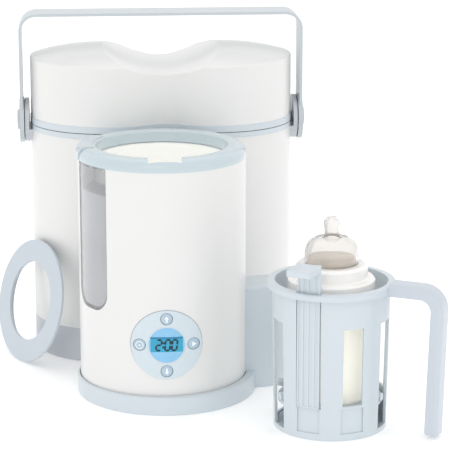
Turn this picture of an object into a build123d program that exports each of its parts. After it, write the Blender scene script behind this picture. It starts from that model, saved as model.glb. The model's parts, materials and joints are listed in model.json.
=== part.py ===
from build123d import *
import math
import os

# Bottle warming set: a round table warmer, the insulated two-bottle carrier behind it,
# the lift-out bottle basket beside it and the flat adapter ring that leans on the carrier.
# Millimetres, +Z up. The origin is on the standing surface, on the warmer's upright axis.
# The warmer's control disc and the carrier's broad side face -Y.

# Shared clearances
SLIP_GAP = 0.3              # plain gap between pieces that slide past each other
RUNNING_GAP = 0.06          # radial play of a pin in its hub
SEAT_GAP = 0.2              # gap between a cover and the opening that it drops into

# Warmer
SHELL_RADIUS = 64.2
SHELL_WALL = 2.2
SHELL_FOOT_Z = 4.0
COLLAR_BOTTOM_Z = 185.4
COLLAR_HEIGHT = 8.8
COLLAR_PROUD = 0.5          # collar stands out from the shell
COLLAR_BORE_RADIUS = 50.0
COLLAR_ROUND = 7.5
COLLAR_SPIGOT_DEPTH = 5.0
COLLAR_SPIGOT_WALL = 2.4
COLLAR_BORE_ROUND = 1.5
RING_ROUND = 1.2
CUT_ROOM = 5.0              # cuts run this far past the skin that they go through
NOTCH_WIDTH = 25.0
NOTCH_REACH = 11.0          # how far the front notch runs out from the bore
RING_PROUD = 4.8            # base ring stands out from the shell
RING_RADIUS = SHELL_RADIUS + RING_PROUD
RING_OFFSET_X = 2.5
RING_HEIGHT = 14.0
RING_GAP = 0.7              # dark line between the shell and its base ring
RING_LEDGE = 4.2            # the shell stands on the ring, this far in
RING_LEDGE_RADIUS = SHELL_RADIUS - RING_LEDGE
BASE_PLATE_THICKNESS = 2.5
WELL_INSET = 3.0            # the well is this much narrower than the collar's bore
WELL_RADIUS = COLLAR_BORE_RADIUS - WELL_INSET
WELL_WALL = 1.6
WELL_FLOOR_Z = 84.0
WELL_TOP_Z = 184.6
WELL_FLANGE_INSET = 6.2     # from the shell's skin to the well's flange
WELL_FLANGE_RADIUS = SHELL_RADIUS - WELL_FLANGE_INSET
FOOT_RADIUS = 7.0
FOOT_THICKNESS = 1.2
FOOT_CIRCLE = 46.0
FOOT_COUNT = 4
FOOT_START_DEG = 45.0
VENT_COUNT = 6              # an even number, so that the middle of the plate is solid
VENT_PITCH = 6.0
VENT_WIDTH = 2.0
VENT_LENGTH = 32.0
SCREW_RADIUS = 1.75
SCREW_HEAD_RADIUS = 3.4
SCREW_HEAD_HEIGHT = 1.8
SCREW_INSET = 7.0           # screws lie this far inside the base ring's ledge
SCREW_CIRCLE = RING_LEDGE_RADIUS - SCREW_INSET
SCREW_COUNT = 3
SCREW_START_DEG = 90.0
SCREW_LENGTH = 12.0
SCREW_BOSS_WALL = 2.4
SCREW_BOSS_CAP = 3.0        # boss stands this far above the screw's tip
SCREW_TIP_GAP = 0.5
THREAD_GAP = 0.05
FRAME_WALL = 2.0
FRAME_RIM = 4.0             # inner frame stands this far outside the screw circle
FRAME_OPENING_RISE = 8.0    # from the frame's foot to its opening for the board
FRAME_OPENING_BACK_Y = -20.0

# Heater under the well
HEATER_INSET = 5.0
HEATER_RADIUS = WELL_RADIUS - HEATER_INSET
HEATER_THICKNESS = 3.0
ELEMENT_CIRCLE = 29.0
ELEMENT_RADIUS = 3.2
ELEMENT_SWEEP_DEG = 300.0
TERMINAL_LENGTH = 10.0
THERMOSTAT_RADIUS = 8.0
THERMOSTAT_HEIGHT = 11.0
THERMOSTAT_FLANGE = 2.0
THERMOSTAT_FLANGE_THICKNESS = 1.2
ELEMENT_TURN_DEG = 120.0    # where the element's first terminal lies
TERMINAL_RADIUS = 2.24

# Control disc on the shell's front
DISC_RADIUS = 26.8
DISC_CENTRE_Z = 54.0
DISC_PROUD = 0.8
DISC_DEPTH = 3.6
LENS_RADIUS = 13.6
LENS_DEPTH = 2.6
BUTTON_RADIUS = 4.4
BUTTON_CIRCLE = 20.3
BUTTON_PROUD = 0.9          # above the control disc
BUTTON_DEPTH = 5.2
BUTTON_TRAVEL = 0.8
BUTTON_FLANGE = 1.2
BUTTON_FLANGE_THICKNESS = 1.0
BUTTON_REST_GAP = 0.1       # from the disc's back to the flange
LCD_WIDTH = 27.0
LCD_HEIGHT = 15.0
LCD_THICKNESS = 2.6
BOARD_WIDTH = 52.0
BOARD_HEIGHT = 48.0
BOARD_THICKNESS = 1.6
BOARD_INSET = 12.2          # from the shell's skin to the board
BOARD_FRONT_Y = BOARD_INSET - SHELL_RADIUS
BOARD_ROOM = 2.0
SWITCH_WIDTH = 6.0
SWITCH_HEIGHT = 1.5
CHIP_WIDTH = 16.0
CHIP_HEIGHT = 12.0
CHIP_THICKNESS = 2.0
CUT_DEPTH_Y = -40.0         # cuts for the disc run from outside the shell to here

# Water tank in the left window
TANK_AZIMUTH_DEG = -60.5
WINDOW_WIDTH = 39.0
WINDOW_BOTTOM_Z = 74.5
WINDOW_CORNER = 14.0
TANK_WALL = 1.8
TANK_GAP = 0.5
TANK_WELL_GAP = 2.2
TANK_INNER_RADIUS = WELL_RADIUS + WELL_WALL + TANK_WELL_GAP
TANK_RECESS = 0.5           # tank face lies this far inside the shell's skin
TANK_FILL_RADIUS = 4.0
TANK_CAP_THICKNESS = 1.2
DOCK_THICKNESS = 3.0
DOCK_NOZZLE_RADIUS = 3.0
DOCK_NOZZLE_LENGTH = 9.0
DOCK_WIDTH = 30.0
TANK_PORT_RADIUS = 2.0
TANK_PRISM_REACH = 40.0     # cuts along the tank's azimuth start here

# Side housing on the warmer's right
HOUSING_HEIGHT = 82.0
HOUSING_INSET = 8.2         # its left end lies this far inside the shell's skin
HOUSING_LENGTH = 43.0
HOUSING_LEFT_X = SHELL_RADIUS - HOUSING_INSET
HOUSING_FRONT_Y = -12.2     # at its left end
HOUSING_YAW_DEG = 14.0
HOUSING_DEPTH = 33.0
HOUSING_CORNER = 7.0
HOUSING_TOP_ROUND = 3.0
HOUSING_WALL = 2.2
HOUSING_FLOOR = 2.4
INLET_WIDTH = 17.0
INLET_HEIGHT = 11.0
INLET_DEPTH = 13.0
INLET_Z = 20.0
INLET_PIN_RADIUS = 1.2
INLET_PIN_PITCH = 8.0
INLET_OFFSET = 5.0          # from the middle of the housing's back wall
INLET_WALL = 1.4
INLET_BACK_WALL = 2.0
INLET_PIN_RECESS = 2.0      # pins end this far inside the inlet's mouth
POWER_BOARD_WIDTH = 15.0
POWER_BOARD_HEIGHT = 50.0
POWER_BOARD_Y = -20.0       # from the housing's back wall
POWER_BOARD_LEFT_X = -3.0
POWER_BOARD_RISE = 8.0      # above the base ring
POWER_COIL_WIDTH = 11.0
POWER_COIL_HEIGHT = 20.0
POWER_COIL_RISE = 22.0
POWER_COIL_DEPTH = 9.0

# Two-bottle carrier
LOBE_RADIUS = 61.3
LOBE_OFFSET = 44.7
WAIST_HALF_DEPTH = 48.5
CARRIER_CLEAR = 6.9         # from the warmer's base ring to the carrier's waist
CARRIER_X = 5.0
CARRIER_Y = RING_RADIUS + CARRIER_CLEAR + WAIST_HALF_DEPTH
CARRIER_WALL = 2.2
CUP_HEIGHT = 28.0
CUP_FLOOR = 2.6
CUP_FOOT_ROUND = 2.5
RIM_BOTTOM_Z = 184.6
RIM_HEIGHT = 4.1
RIM_TOP_Z = RIM_BOTTOM_Z + RIM_HEIGHT
RIM_PROUD = 0.6
RIM_WIDTH = 6.0
LID_GAP = 0.6
LID_RIM_HEIGHT = 5.0
LID_HEIGHT = 62.6           # from the carrier's rim to the lid's top
LID_TOP_Z = RIM_TOP_Z + LID_HEIGHT
LID_DOME_RADIUS = 190.0
LID_DOME_OFFSET = 50.0
TROUGH_RADIUS = 77.0
TROUGH_DEPTH = 16.7
TROUGH_FLOOR_Z = LID_TOP_Z - TROUGH_DEPTH
LID_EDGE_ROUND = 1.5
LID_FOOT_BAND = 5.0         # edges lower than this above the lid's foot stay sharp
LID_PLATE_THICKNESS = 2.4
GASKET_WIDTH = 3.2
GASKET_INSET = 9.0
BOTTLE_WELL_RADIUS = 37.0
BOTTLE_WELL_WALL = 1.8
BOTTLE_WELL_FLOOR_Z = 18.0
WELL_PLATE_THICKNESS = 2.0

# Carrier hinge and bail
PIVOT_RISE = 1.3            # above the carrier's rim
PIVOT_Z = RIM_TOP_Z + PIVOT_RISE
EAR_RADIUS = 17.8
EAR_THICKNESS = 3.6
EAR_STANDOFF = 1.4          # from the carrier's end to the ear's inner face
EAR_FOOT_DROP = 16.5        # from the pivot to the foot's lower end
EAR_FOOT_BOTTOM_Z = PIVOT_Z - EAR_FOOT_DROP
EAR_FOOT_DEPTH = 6.0        # the foot is cut from this far inside the carrier's end
EAR_ROUND = 1.2
PIN_RADIUS = 4.0
PIN_RECESS = 0.4            # the pin starts this far inside the ear
CAP_RADIUS = 8.25
CAP_THICKNESS = 1.9
CAP_ROUND = 1.0
HUB_RADIUS = 18.5
HUB_THICKNESS = 3.6
HUB_GAP = 0.4
STRAP_THICKNESS = 2.2
STRAP_WIDTH = 30.0
STRAP_RISE = 88.0           # from the pivot to the bail's top
STRAP_TOP_Z = PIVOT_Z + STRAP_RISE
STRAP_CORNER = 14.0
STRAP_STEP = 0.8            # hub's inner face stands this far inside the strap's

# Bottle basket
BASKET_X = 119.6
BASKET_Y = -91.5
BASKET_TOP_RADIUS = 43.5
BASKET_TAPER = 1.8
BASKET_FOOT_RADIUS = BASKET_TOP_RADIUS - BASKET_TAPER
BASKET_WALL = 2.0
BASKET_FLOOR = 2.4
BASKET_HEIGHT = 110.5
BASKET_RIM_HEIGHT = 4.6
BASKET_RIM_PROUD = 3.7
BASKET_RIM_RADIUS = BASKET_TOP_RADIUS + BASKET_RIM_PROUD
BASKET_RIM_ROUND = 1.4
WINDOW_CUT_START = 30.0     # cuts through the wall run outwards from here
STRIP_CUT_REACH = 60.0
BASKET_DRAIN_RADIUS = 26.0
STRIP_AZIMUTH_DEG = -29.5
STRIP_WIDTH = 17.4
STRIP_GAP = 0.9
STRIP_THICKNESS = 2.4
STRIP_INSET = 0.1           # strip's face lies this far inside the basket's
STRIP_TOP_Z = 131.5
PANEL_BOTTOM_Z = 5.0
PANEL_TOP_Z = 24.7
PANEL_RECESS = 0.9
PANEL_OVERLAP = 2.0         # pocket is this much wider than a window
SILL_HEIGHT = 1.0           # from a pocket's top to the window above it
WINDOW_TOP_Z = 84.0
BASKET_WINDOW_WIDTH = 15.5
LONG_WINDOW_BOTTOM_Z = 3.4
SHORT_WINDOW_AZIMUTHS_DEG = (16.0, 105.0, 150.5, 195.5)
LONG_WINDOW_AZIMUTHS_DEG = (60.5, 240.5, 289.0)
RIB_COUNT = 3
RIB_WIDTH = 1.7
RIB_PITCH = 4.4
RIB_HEIGHT = 0.5
FLUTE_MARGIN = 1.2          # plain edge beside the ribs
FLUTE_END = 1.0
HOOK_REACH = 19.0
HOOK_THICKNESS = 5.0
HOOK_ROUND = 1.2
PLATFORM_THICKNESS = 3.0
PLATFORM_TOP_Z = 21.9
PLATFORM_GAP = 1.3          # from the platform to the basket's wall
PLATFORM_RADIUS = BASKET_FOOT_RADIUS - BASKET_WALL - PLATFORM_GAP
LEG_THICKNESS = 2.0
PEG_RADIUS = 3.0
PEG_INSET = 0.7             # pegs end this far inside the basket's foot
PEG_REACH = BASKET_FOOT_RADIUS - PEG_INSET
PEG_Z = 25.6
PEG_BOTTLE_GAP = 1.0
LUG_WIDTH = 4.0
HANDLE_AZIMUTH_DEG = 62.8
HANDLE_WIDTH = 17.0
HANDLE_THICKNESS = 9.5
HANDLE_TOP_Z = 113.7
HANDLE_FOOT_Z = 2.2
HANDLE_STANDOFF = 41.0      # from the basket's rim to the grip's outer face
HANDLE_OUTER_REACH = BASKET_RIM_RADIUS + HANDLE_STANDOFF
HANDLE_CORNER = 18.0
HANDLE_ROOT = 6.0           # the bar is cut back from this far inside the rim
HANDLE_SLANT = 3.0          # grip's foot is this much nearer to the basket
HANDLE_OUTER_ROUND = 3.6
HANDLE_INNER_ROUND = 1.0

# Bottle in the basket
BOTTLE_RADIUS = 30.5
BOTTLE_WALL = 1.8
BOTTLE_SHOULDER_Z = 92.0
BOTTLE_SHOULDER_WIDTH = 6.7
BOTTLE_NECK_RADIUS = BOTTLE_RADIUS - BOTTLE_SHOULDER_WIDTH
BOTTLE_TOP_Z = 118.2
BOTTLE_GAP = 0.3            # above the platform
BOTTLE_FOOT_ROUND = 3.0
BOTTLE_SHOULDER_RISE = 6.0
CAP_SKIRT_PROUD = 1.5
CAP_SKIRT_RADIUS = BOTTLE_RADIUS + CAP_SKIRT_PROUD
CAP_SKIRT_BOTTOM_Z = 95.5
CAP_STEP_Z = 112.6
CAP_NECK_ROOM = 2.7         # from the bottle's neck to the ring's outer face
CAP_TOP_RADIUS = BOTTLE_NECK_RADIUS + CAP_NECK_ROOM
CAP_TOP_Z = 123.0
CAP_WALL = 2.2
CAP_LIP_WIDTH = 7.2
CAP_MOUTH_RADIUS = CAP_TOP_RADIUS - CAP_LIP_WIDTH
CAP_SKIRT_CHAMFER = 1.5
CAP_TOP_CHAMFER = 2.0
CAP_STEP_CHAMFER = 1.0
TEAT_FLANGE_OVERLAP = 2.7   # the flange is this much wider than the ring's mouth
TEAT_FLANGE_RADIUS = CAP_MOUTH_RADIUS + TEAT_FLANGE_OVERLAP
TEAT_FLANGE_THICKNESS = 2.0
TEAT_BELL_Z = 124.0         # the bell is straight below this height
TEAT_NECK_RADIUS = 5.4
TEAT_NECK_Z = 142.5
TEAT_TIP_RADIUS = 6.1
TEAT_TIP_Z = 158.5
TEAT_WALL = 1.6
TEAT_ARC_STEPS = 6

# Adapter ring
ADAPTER_RADIUS = 49.6
ADAPTER_BORE_ROOM = 1.5     # bottle slips through the bore
ADAPTER_BORE_RADIUS = BOTTLE_RADIUS + ADAPTER_BORE_ROOM
ADAPTER_THICKNESS = 2.0
ADAPTER_SKIRT_RADIUS = 40.0
ADAPTER_SKIRT_WALL = 2.0
ADAPTER_SKIRT_DEPTH = 5.0
ADAPTER_LEAN_DEG = 13.5
ADAPTER_FACING_DEG = 209.6  # compass direction of its face, from +X
ADAPTER_X = CARRIER_X - 108.8
ADAPTER_Y = CARRIER_Y - 42.8

BASE = (Align.CENTER, Align.CENTER, Align.MIN)
EDGE_TOLERANCE = 0.01       # for picking edges by their place


def disc(radius, z0, z1, x=0.0, y=0.0):
    """Upright cylinder between two heights."""
    return Pos(x, y, z0) * Cylinder(radius, z1 - z0, align=BASE)


def tube(outer, inner, z0, z1):
    """Upright tube between two heights."""
    return disc(outer, z0, z1) - disc(inner, z0, z1)


def block(x0, x1, y0, y1, z0, z1):
    """Box between two corners."""
    centre = Pos((x0 + x1) / 2, (y0 + y1) / 2, (z0 + z1) / 2)
    return centre * Box(x1 - x0, y1 - y0, z1 - z0)


def rod_y(radius, y0, y1, x, z):
    """Cylinder that lies along Y."""
    return Pos(x, (y0 + y1) / 2, z) * Rot(90, 0, 0) * Cylinder(radius, y1 - y0)


def rod_x(radius, x0, x1, y, z):
    """Cylinder that lies along X."""
    return Pos((x0 + x1) / 2, y, z) * Rot(0, 90, 0) * Cylinder(radius, x1 - x0)


def turned(outline):
    """Solid of revolution about Z from (radius, height) points."""
    wire = Polyline(*[(r, 0, z) for r, z in outline], close=True)
    return revolve(make_face(wire), Axis.Z)


def is_near(value, target):
    return abs(value - target) < EDGE_TOLERANCE


def circle_edges(part, radius, z):
    """Circular edges of a given radius at a given height."""
    edges = part.edges().filter_by(GeomType.CIRCLE)
    return edges.filter_by(lambda e: is_near(e.radius, radius) and is_near(e.center().Z, z))


def at_azimuth(azimuth_deg, part):
    """Turn a piece made facing -Y to an azimuth, positive towards +X."""
    return Rot(0, 0, azimuth_deg) * part


def arch_prism(width, z0, z1, corner, reach0, reach1):
    """Prism facing -Y whose two lower corners are round."""
    face = Pos(0, (z0 + z1) / 2) * Rectangle(width, z1 - z0)
    face = fillet(face.vertices().group_by(Axis.Y)[0], corner)
    return extrude(Plane.XZ.offset(reach0) * face, reach1 - reach0)


# ---------------------------------------------------------------- warmer

def tank_prism(gap, reach, top_z):
    """The tank window's outline, shrunk by a gap and pushed out along its azimuth."""
    prism = arch_prism(
        WINDOW_WIDTH - 2 * gap, WINDOW_BOTTOM_Z + gap, top_z, WINDOW_CORNER - gap,
        TANK_PRISM_REACH, reach,
    )
    return at_azimuth(TANK_AZIMUTH_DEG, prism)


def tank_bay():
    """Room that the tank needs between the well and the shell."""
    reach = SHELL_RADIUS + CUT_ROOM
    bay = tube(reach, TANK_INNER_RADIUS - TANK_GAP, WINDOW_BOTTOM_Z, COLLAR_BOTTOM_Z)
    return bay & tank_prism(0.0, reach, COLLAR_BOTTOM_Z)


def warmer_shell():
    shell = tube(SHELL_RADIUS, SHELL_RADIUS - SHELL_WALL, SHELL_FOOT_Z, COLLAR_BOTTOM_Z)
    shell -= tank_prism(0.0, SHELL_RADIUS + CUT_ROOM, COLLAR_BOTTOM_Z + 1)
    shell -= rod_y(DISC_RADIUS + SEAT_GAP, -SHELL_RADIUS - CUT_ROOM, CUT_DEPTH_Y, 0, DISC_CENTRE_Z)
    return shell


def collar():
    radius = SHELL_RADIUS + COLLAR_PROUD
    top = COLLAR_BOTTOM_Z + COLLAR_HEIGHT
    ring = tube(radius, COLLAR_BORE_RADIUS, COLLAR_BOTTOM_Z, top)
    ring = fillet(circle_edges(ring, radius, top), COLLAR_ROUND)
    ring = fillet(circle_edges(ring, COLLAR_BORE_RADIUS, top), COLLAR_BORE_ROUND)
    spigot_radius = SHELL_RADIUS - SHELL_WALL - SEAT_GAP
    spigot = tube(
        spigot_radius, spigot_radius - COLLAR_SPIGOT_WALL,
        COLLAR_BOTTOM_Z - COLLAR_SPIGOT_DEPTH, COLLAR_BOTTOM_Z,
    )
    spigot -= tank_bay()
    reach = COLLAR_BORE_RADIUS + NOTCH_REACH
    notch = block(-NOTCH_WIDTH / 2, NOTCH_WIDTH / 2, -reach, 0, COLLAR_BOTTOM_Z, top + 1)
    return ring + spigot - notch


def well_liner():
    outer = WELL_RADIUS + WELL_WALL
    cup = disc(outer, WELL_FLOOR_Z - WELL_WALL, WELL_TOP_Z)
    cup -= disc(WELL_RADIUS, WELL_FLOOR_Z, WELL_TOP_Z)
    flange = tube(WELL_FLANGE_RADIUS, outer, WELL_TOP_Z - WELL_WALL, WELL_TOP_Z)
    return cup + (flange - tank_bay())


def ring_outline(radius, z0, z1):
    return disc(radius, z0, z1, RING_OFFSET_X, 0)


def base_ring():
    ring = ring_outline(RING_RADIUS, 0, RING_HEIGHT)
    ring = fillet(circle_edges(ring, RING_RADIUS, RING_HEIGHT), RING_ROUND)
    ring -= disc(SHELL_RADIUS + RING_GAP, SHELL_FOOT_Z, RING_HEIGHT + 1)
    ring -= disc(RING_LEDGE_RADIUS, -1, SHELL_FOOT_Z)
    return ring


def spots(circle_radius, count, start_deg):
    """Points evenly spaced on a circle."""
    angles = [math.radians(start_deg + 360 * i / count) for i in range(count)]
    return [(circle_radius * math.cos(a), circle_radius * math.sin(a)) for a in angles]


def foot_spots():
    return spots(FOOT_CIRCLE, FOOT_COUNT, FOOT_START_DEG)


def screw_spots():
    return spots(SCREW_CIRCLE, SCREW_COUNT, SCREW_START_DEG)


def base_plate():
    plate = disc(RING_LEDGE_RADIUS - SEAT_GAP, 0, BASE_PLATE_THICKNESS)
    for x, y in foot_spots():
        plate -= disc(FOOT_RADIUS + SEAT_GAP, 0, FOOT_THICKNESS, x, y)
    for x, y in screw_spots():
        plate -= disc(SCREW_RADIUS + SEAT_GAP, 0, BASE_PLATE_THICKNESS, x, y)
        plate -= disc(SCREW_HEAD_RADIUS + SEAT_GAP, 0, SCREW_HEAD_HEIGHT + SEAT_GAP, x, y)
    for i in range(VENT_COUNT):
        y = (i - (VENT_COUNT - 1) / 2) * VENT_PITCH
        plate -= block(-VENT_LENGTH / 2, VENT_LENGTH / 2, y - VENT_WIDTH / 2, y + VENT_WIDTH / 2,
                       0, BASE_PLATE_THICKNESS)
    return plate


def foot_pads():
    return [disc(FOOT_RADIUS, 0, FOOT_THICKNESS, x, y) for x, y in foot_spots()]


def base_screws():
    screws = []
    for x, y in screw_spots():
        head = disc(SCREW_HEAD_RADIUS, SEAT_GAP, SCREW_HEAD_HEIGHT + SEAT_GAP, x, y)
        screws.append(head + disc(SCREW_RADIUS, SCREW_HEAD_HEIGHT, SCREW_LENGTH, x, y))
    return screws


def inner_frame():
    """Cup-shaped frame that joins the base plate to the heater and the well."""
    radius = SCREW_CIRCLE + FRAME_RIM
    shelf = WINDOW_BOTTOM_Z - DOCK_THICKNESS
    bore = HEATER_RADIUS + SEAT_GAP
    frame = tube(radius, radius - FRAME_WALL, BASE_PLATE_THICKNESS, shelf)
    frame += tube(radius, bore, shelf - FRAME_WALL, shelf)
    frame += tube(bore + FRAME_WALL, bore, shelf, WELL_FLOOR_Z - WELL_WALL)
    for x, y in screw_spots():
        frame += disc(SCREW_RADIUS + SCREW_BOSS_WALL, BASE_PLATE_THICKNESS,
                      SCREW_LENGTH + SCREW_BOSS_CAP, x, y)
    for x, y in screw_spots():
        frame -= disc(SCREW_RADIUS + THREAD_GAP, 0, SCREW_LENGTH + SCREW_TIP_GAP, x, y)
    x, y = tank_axis()
    frame -= disc(DOCK_NOZZLE_RADIUS + SEAT_GAP, shelf - DOCK_NOZZLE_LENGTH - 1, shelf + 1, x, y)
    half = BOARD_WIDTH / 2 + BOARD_ROOM
    opening = block(-half, half, -SHELL_RADIUS, FRAME_OPENING_BACK_Y,
                    BASE_PLATE_THICKNESS + FRAME_OPENING_RISE, WELL_FLOOR_Z)
    return frame - opening


def heater_plate():
    top = WELL_FLOOR_Z - WELL_WALL
    return disc(HEATER_RADIUS, top - HEATER_THICKNESS, top)


def heating_element():
    z = WELL_FLOOR_Z - WELL_WALL - HEATER_THICKNESS - ELEMENT_RADIUS
    section = Plane.XZ * (Pos(ELEMENT_CIRCLE, z) * Circle(ELEMENT_RADIUS))
    element = revolve(section, Axis.Z, ELEMENT_SWEEP_DEG)
    for angle in (0.0, ELEMENT_SWEEP_DEG):
        a = math.radians(angle)
        x = ELEMENT_CIRCLE * math.cos(a)
        y = ELEMENT_CIRCLE * math.sin(a)
        element += disc(TERMINAL_RADIUS, z - ELEMENT_RADIUS - TERMINAL_LENGTH, z, x, y)
    return Rot(0, 0, ELEMENT_TURN_DEG) * element


def thermostat():
    top = WELL_FLOOR_Z - WELL_WALL - HEATER_THICKNESS
    body = disc(THERMOSTAT_RADIUS, top - THERMOSTAT_HEIGHT, top)
    body += disc(THERMOSTAT_RADIUS + THERMOSTAT_FLANGE, top - THERMOSTAT_FLANGE_THICKNESS, top)
    return body


def control_disc():
    outer = SHELL_RADIUS + DISC_PROUD
    start = -outer - CUT_ROOM
    c = DISC_CENTRE_Z
    face = tube(outer, outer - DISC_DEPTH, c - DISC_RADIUS, c + DISC_RADIUS)
    face &= rod_y(DISC_RADIUS, start, CUT_DEPTH_Y, 0, c)
    face -= rod_y(LENS_RADIUS + SEAT_GAP, start, CUT_DEPTH_Y, 0, c)
    for x, z in button_spots():
        face -= rod_y(BUTTON_RADIUS + SLIP_GAP, start, CUT_DEPTH_Y, x, z)
    return face


def display_lens():
    outer = SHELL_RADIUS + DISC_PROUD
    c = DISC_CENTRE_Z
    lens = tube(outer, outer - LENS_DEPTH, c - LENS_RADIUS, c + LENS_RADIUS)
    return lens & rod_y(LENS_RADIUS, -outer - CUT_ROOM, CUT_DEPTH_Y, 0, c)


def lcd_panel():
    back = -math.sqrt((SHELL_RADIUS + DISC_PROUD - DISC_DEPTH) ** 2 - (LCD_WIDTH / 2) ** 2) + SEAT_GAP
    return block(-LCD_WIDTH / 2, LCD_WIDTH / 2, back, back + LCD_THICKNESS,
                 DISC_CENTRE_Z - LCD_HEIGHT / 2, DISC_CENTRE_Z + LCD_HEIGHT / 2)


def button_spots():
    """Top, left, right and bottom places on the control disc, as (x, z)."""
    c = DISC_CENTRE_Z
    return [(0, c + BUTTON_CIRCLE), (-BUTTON_CIRCLE, c), (BUTTON_CIRCLE, c), (0, c - BUTTON_CIRCLE)]


def button(x, z):
    """Cap through the control disc, with a flange that keeps it in."""
    face = SHELL_RADIUS + DISC_PROUD
    start = -face - CUT_ROOM
    reach = BUTTON_RADIUS + BUTTON_FLANGE
    cap = tube(face + BUTTON_PROUD, face + BUTTON_PROUD - BUTTON_DEPTH, z - reach, z + reach)
    cap &= rod_y(BUTTON_RADIUS, start, CUT_DEPTH_Y, x, z)
    inside = face - DISC_DEPTH - BUTTON_REST_GAP
    flange = tube(inside, inside - BUTTON_FLANGE_THICKNESS, z - reach, z + reach)
    return cap + (flange & rod_y(reach, start, CUT_DEPTH_Y, x, z))


def control_board():
    c = DISC_CENTRE_Z
    half = SWITCH_WIDTH / 2
    board = block(-BOARD_WIDTH / 2, BOARD_WIDTH / 2, BOARD_FRONT_Y, BOARD_FRONT_Y + BOARD_THICKNESS,
                  c - BOARD_HEIGHT / 2, c + BOARD_HEIGHT / 2)
    for x, z in button_spots():
        board += block(x - half, x + half, BOARD_FRONT_Y - SWITCH_HEIGHT, BOARD_FRONT_Y,
                       z - half, z + half)
    chip_y = BOARD_FRONT_Y + BOARD_THICKNESS
    board += block(-CHIP_WIDTH / 2, CHIP_WIDTH / 2, chip_y, chip_y + CHIP_THICKNESS,
                   c - CHIP_HEIGHT / 2, c + CHIP_HEIGHT / 2)
    return board


def water_tank():
    outer = SHELL_RADIUS - TANK_RECESS
    low = WINDOW_BOTTOM_Z
    body = tube(outer, TANK_INNER_RADIUS, low, COLLAR_BOTTOM_Z - TANK_GAP)
    body &= tank_prism(TANK_GAP, outer + CUT_ROOM, COLLAR_BOTTOM_Z - TANK_GAP)
    hollow = tube(outer - TANK_WALL, TANK_INNER_RADIUS + TANK_WALL, low,
                  COLLAR_BOTTOM_Z - TANK_GAP - TANK_WALL)
    hollow &= tank_prism(TANK_GAP + TANK_WALL, outer + CUT_ROOM,
                         COLLAR_BOTTOM_Z - TANK_GAP - TANK_WALL)
    body -= hollow
    x, y = tank_axis()
    body -= disc(TANK_FILL_RADIUS, COLLAR_BOTTOM_Z - CUT_ROOM, COLLAR_BOTTOM_Z, x, y)
    body -= disc(TANK_PORT_RADIUS, low, low + CUT_ROOM, x, y)
    return body


def tank_axis():
    """Middle of the tank's wall gap, as (x, y)."""
    reach = (SHELL_RADIUS - TANK_RECESS + TANK_INNER_RADIUS) / 2
    a = math.radians(TANK_AZIMUTH_DEG)
    return reach * math.sin(a), -reach * math.cos(a)


def tank_cap():
    x, y = tank_axis()
    top = COLLAR_BOTTOM_Z - TANK_GAP
    return disc(TANK_FILL_RADIUS, top - TANK_WALL - TANK_CAP_THICKNESS, top, x, y)


def tank_dock():
    """Curved shelf under the tank, with the nozzle of its valve."""
    top = WINDOW_BOTTOM_Z
    low = top - DOCK_THICKNESS
    outer = SHELL_RADIUS - SHELL_WALL - SEAT_GAP
    shelf = tube(outer, SCREW_CIRCLE - FRAME_RIM, low, top)
    strip = block(-DOCK_WIDTH / 2, DOCK_WIDTH / 2, -outer - CUT_ROOM, CUT_DEPTH_Y, low, top)
    x, y = tank_axis()
    nozzle = disc(DOCK_NOZZLE_RADIUS, low - DOCK_NOZZLE_LENGTH, low, x, y)
    return (shelf & at_azimuth(TANK_AZIMUTH_DEG, strip)) + nozzle


def housing_face(inset):
    """Plan of the side housing: a box turned by its yaw, with round corners."""
    size = (HOUSING_LENGTH - 2 * inset, HOUSING_DEPTH - 2 * inset)
    face = Pos(HOUSING_LENGTH / 2, HOUSING_DEPTH / 2) * Rectangle(*size)
    face = fillet(face.vertices(), HOUSING_CORNER - inset)
    return Pos(HOUSING_LEFT_X, HOUSING_FRONT_Y) * Rot(0, 0, HOUSING_YAW_DEG) * face


def warmer_skin(gap):
    """Shell and base ring as one solid, grown by a gap."""
    skin = disc(SHELL_RADIUS + gap, 0, HOUSING_HEIGHT + 1)
    return skin + ring_outline(RING_RADIUS + gap, 0, RING_HEIGHT + gap)


def side_housing():
    body = extrude(housing_face(0), HOUSING_HEIGHT)
    body = fillet(body.faces().sort_by(Axis.Z)[-1].edges(), HOUSING_TOP_ROUND)
    body -= warmer_skin(0.0)
    hollow = extrude(housing_face(HOUSING_WALL), HOUSING_HEIGHT - HOUSING_WALL)
    hollow -= warmer_skin(HOUSING_WALL)
    body -= hollow
    body -= inlet_place(block(-INLET_WIDTH / 2, INLET_WIDTH / 2, -INLET_DEPTH, 1,
                              INLET_Z - INLET_HEIGHT / 2, INLET_Z + INLET_HEIGHT / 2))
    return body


def inlet_place(part):
    """Put a piece made at the origin, mouth towards +Y, in the housing's back wall."""
    local = Pos(HOUSING_LENGTH / 2 + INLET_OFFSET, HOUSING_DEPTH) * part
    return Pos(HOUSING_LEFT_X, HOUSING_FRONT_Y) * Rot(0, 0, HOUSING_YAW_DEG) * local


def housing_floor():
    plate = extrude(housing_face(HOUSING_WALL + SEAT_GAP), HOUSING_FLOOR)
    return plate - warmer_skin(HOUSING_WALL + SEAT_GAP)


def power_inlet():
    """Two-pin inlet: a figure-of-eight socket in a block."""
    w = INLET_WIDTH - 2 * SEAT_GAP
    h = INLET_HEIGHT - 2 * SEAT_GAP
    socket_radius = h / 2 - INLET_WALL
    socket_x = w / 2 - INLET_WALL - socket_radius
    body = block(-w / 2, w / 2, -INLET_DEPTH, 0, INLET_Z - h / 2, INLET_Z + h / 2)
    for side in (-1, 1):
        body -= rod_y(socket_radius, INLET_BACK_WALL - INLET_DEPTH, 1, side * socket_x, INLET_Z)
    for side in (-1, 1):
        body += rod_y(INLET_PIN_RADIUS, -INLET_DEPTH, -INLET_PIN_RECESS,
                      side * INLET_PIN_PITCH / 2, INLET_Z)
    return inlet_place(body)


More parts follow.
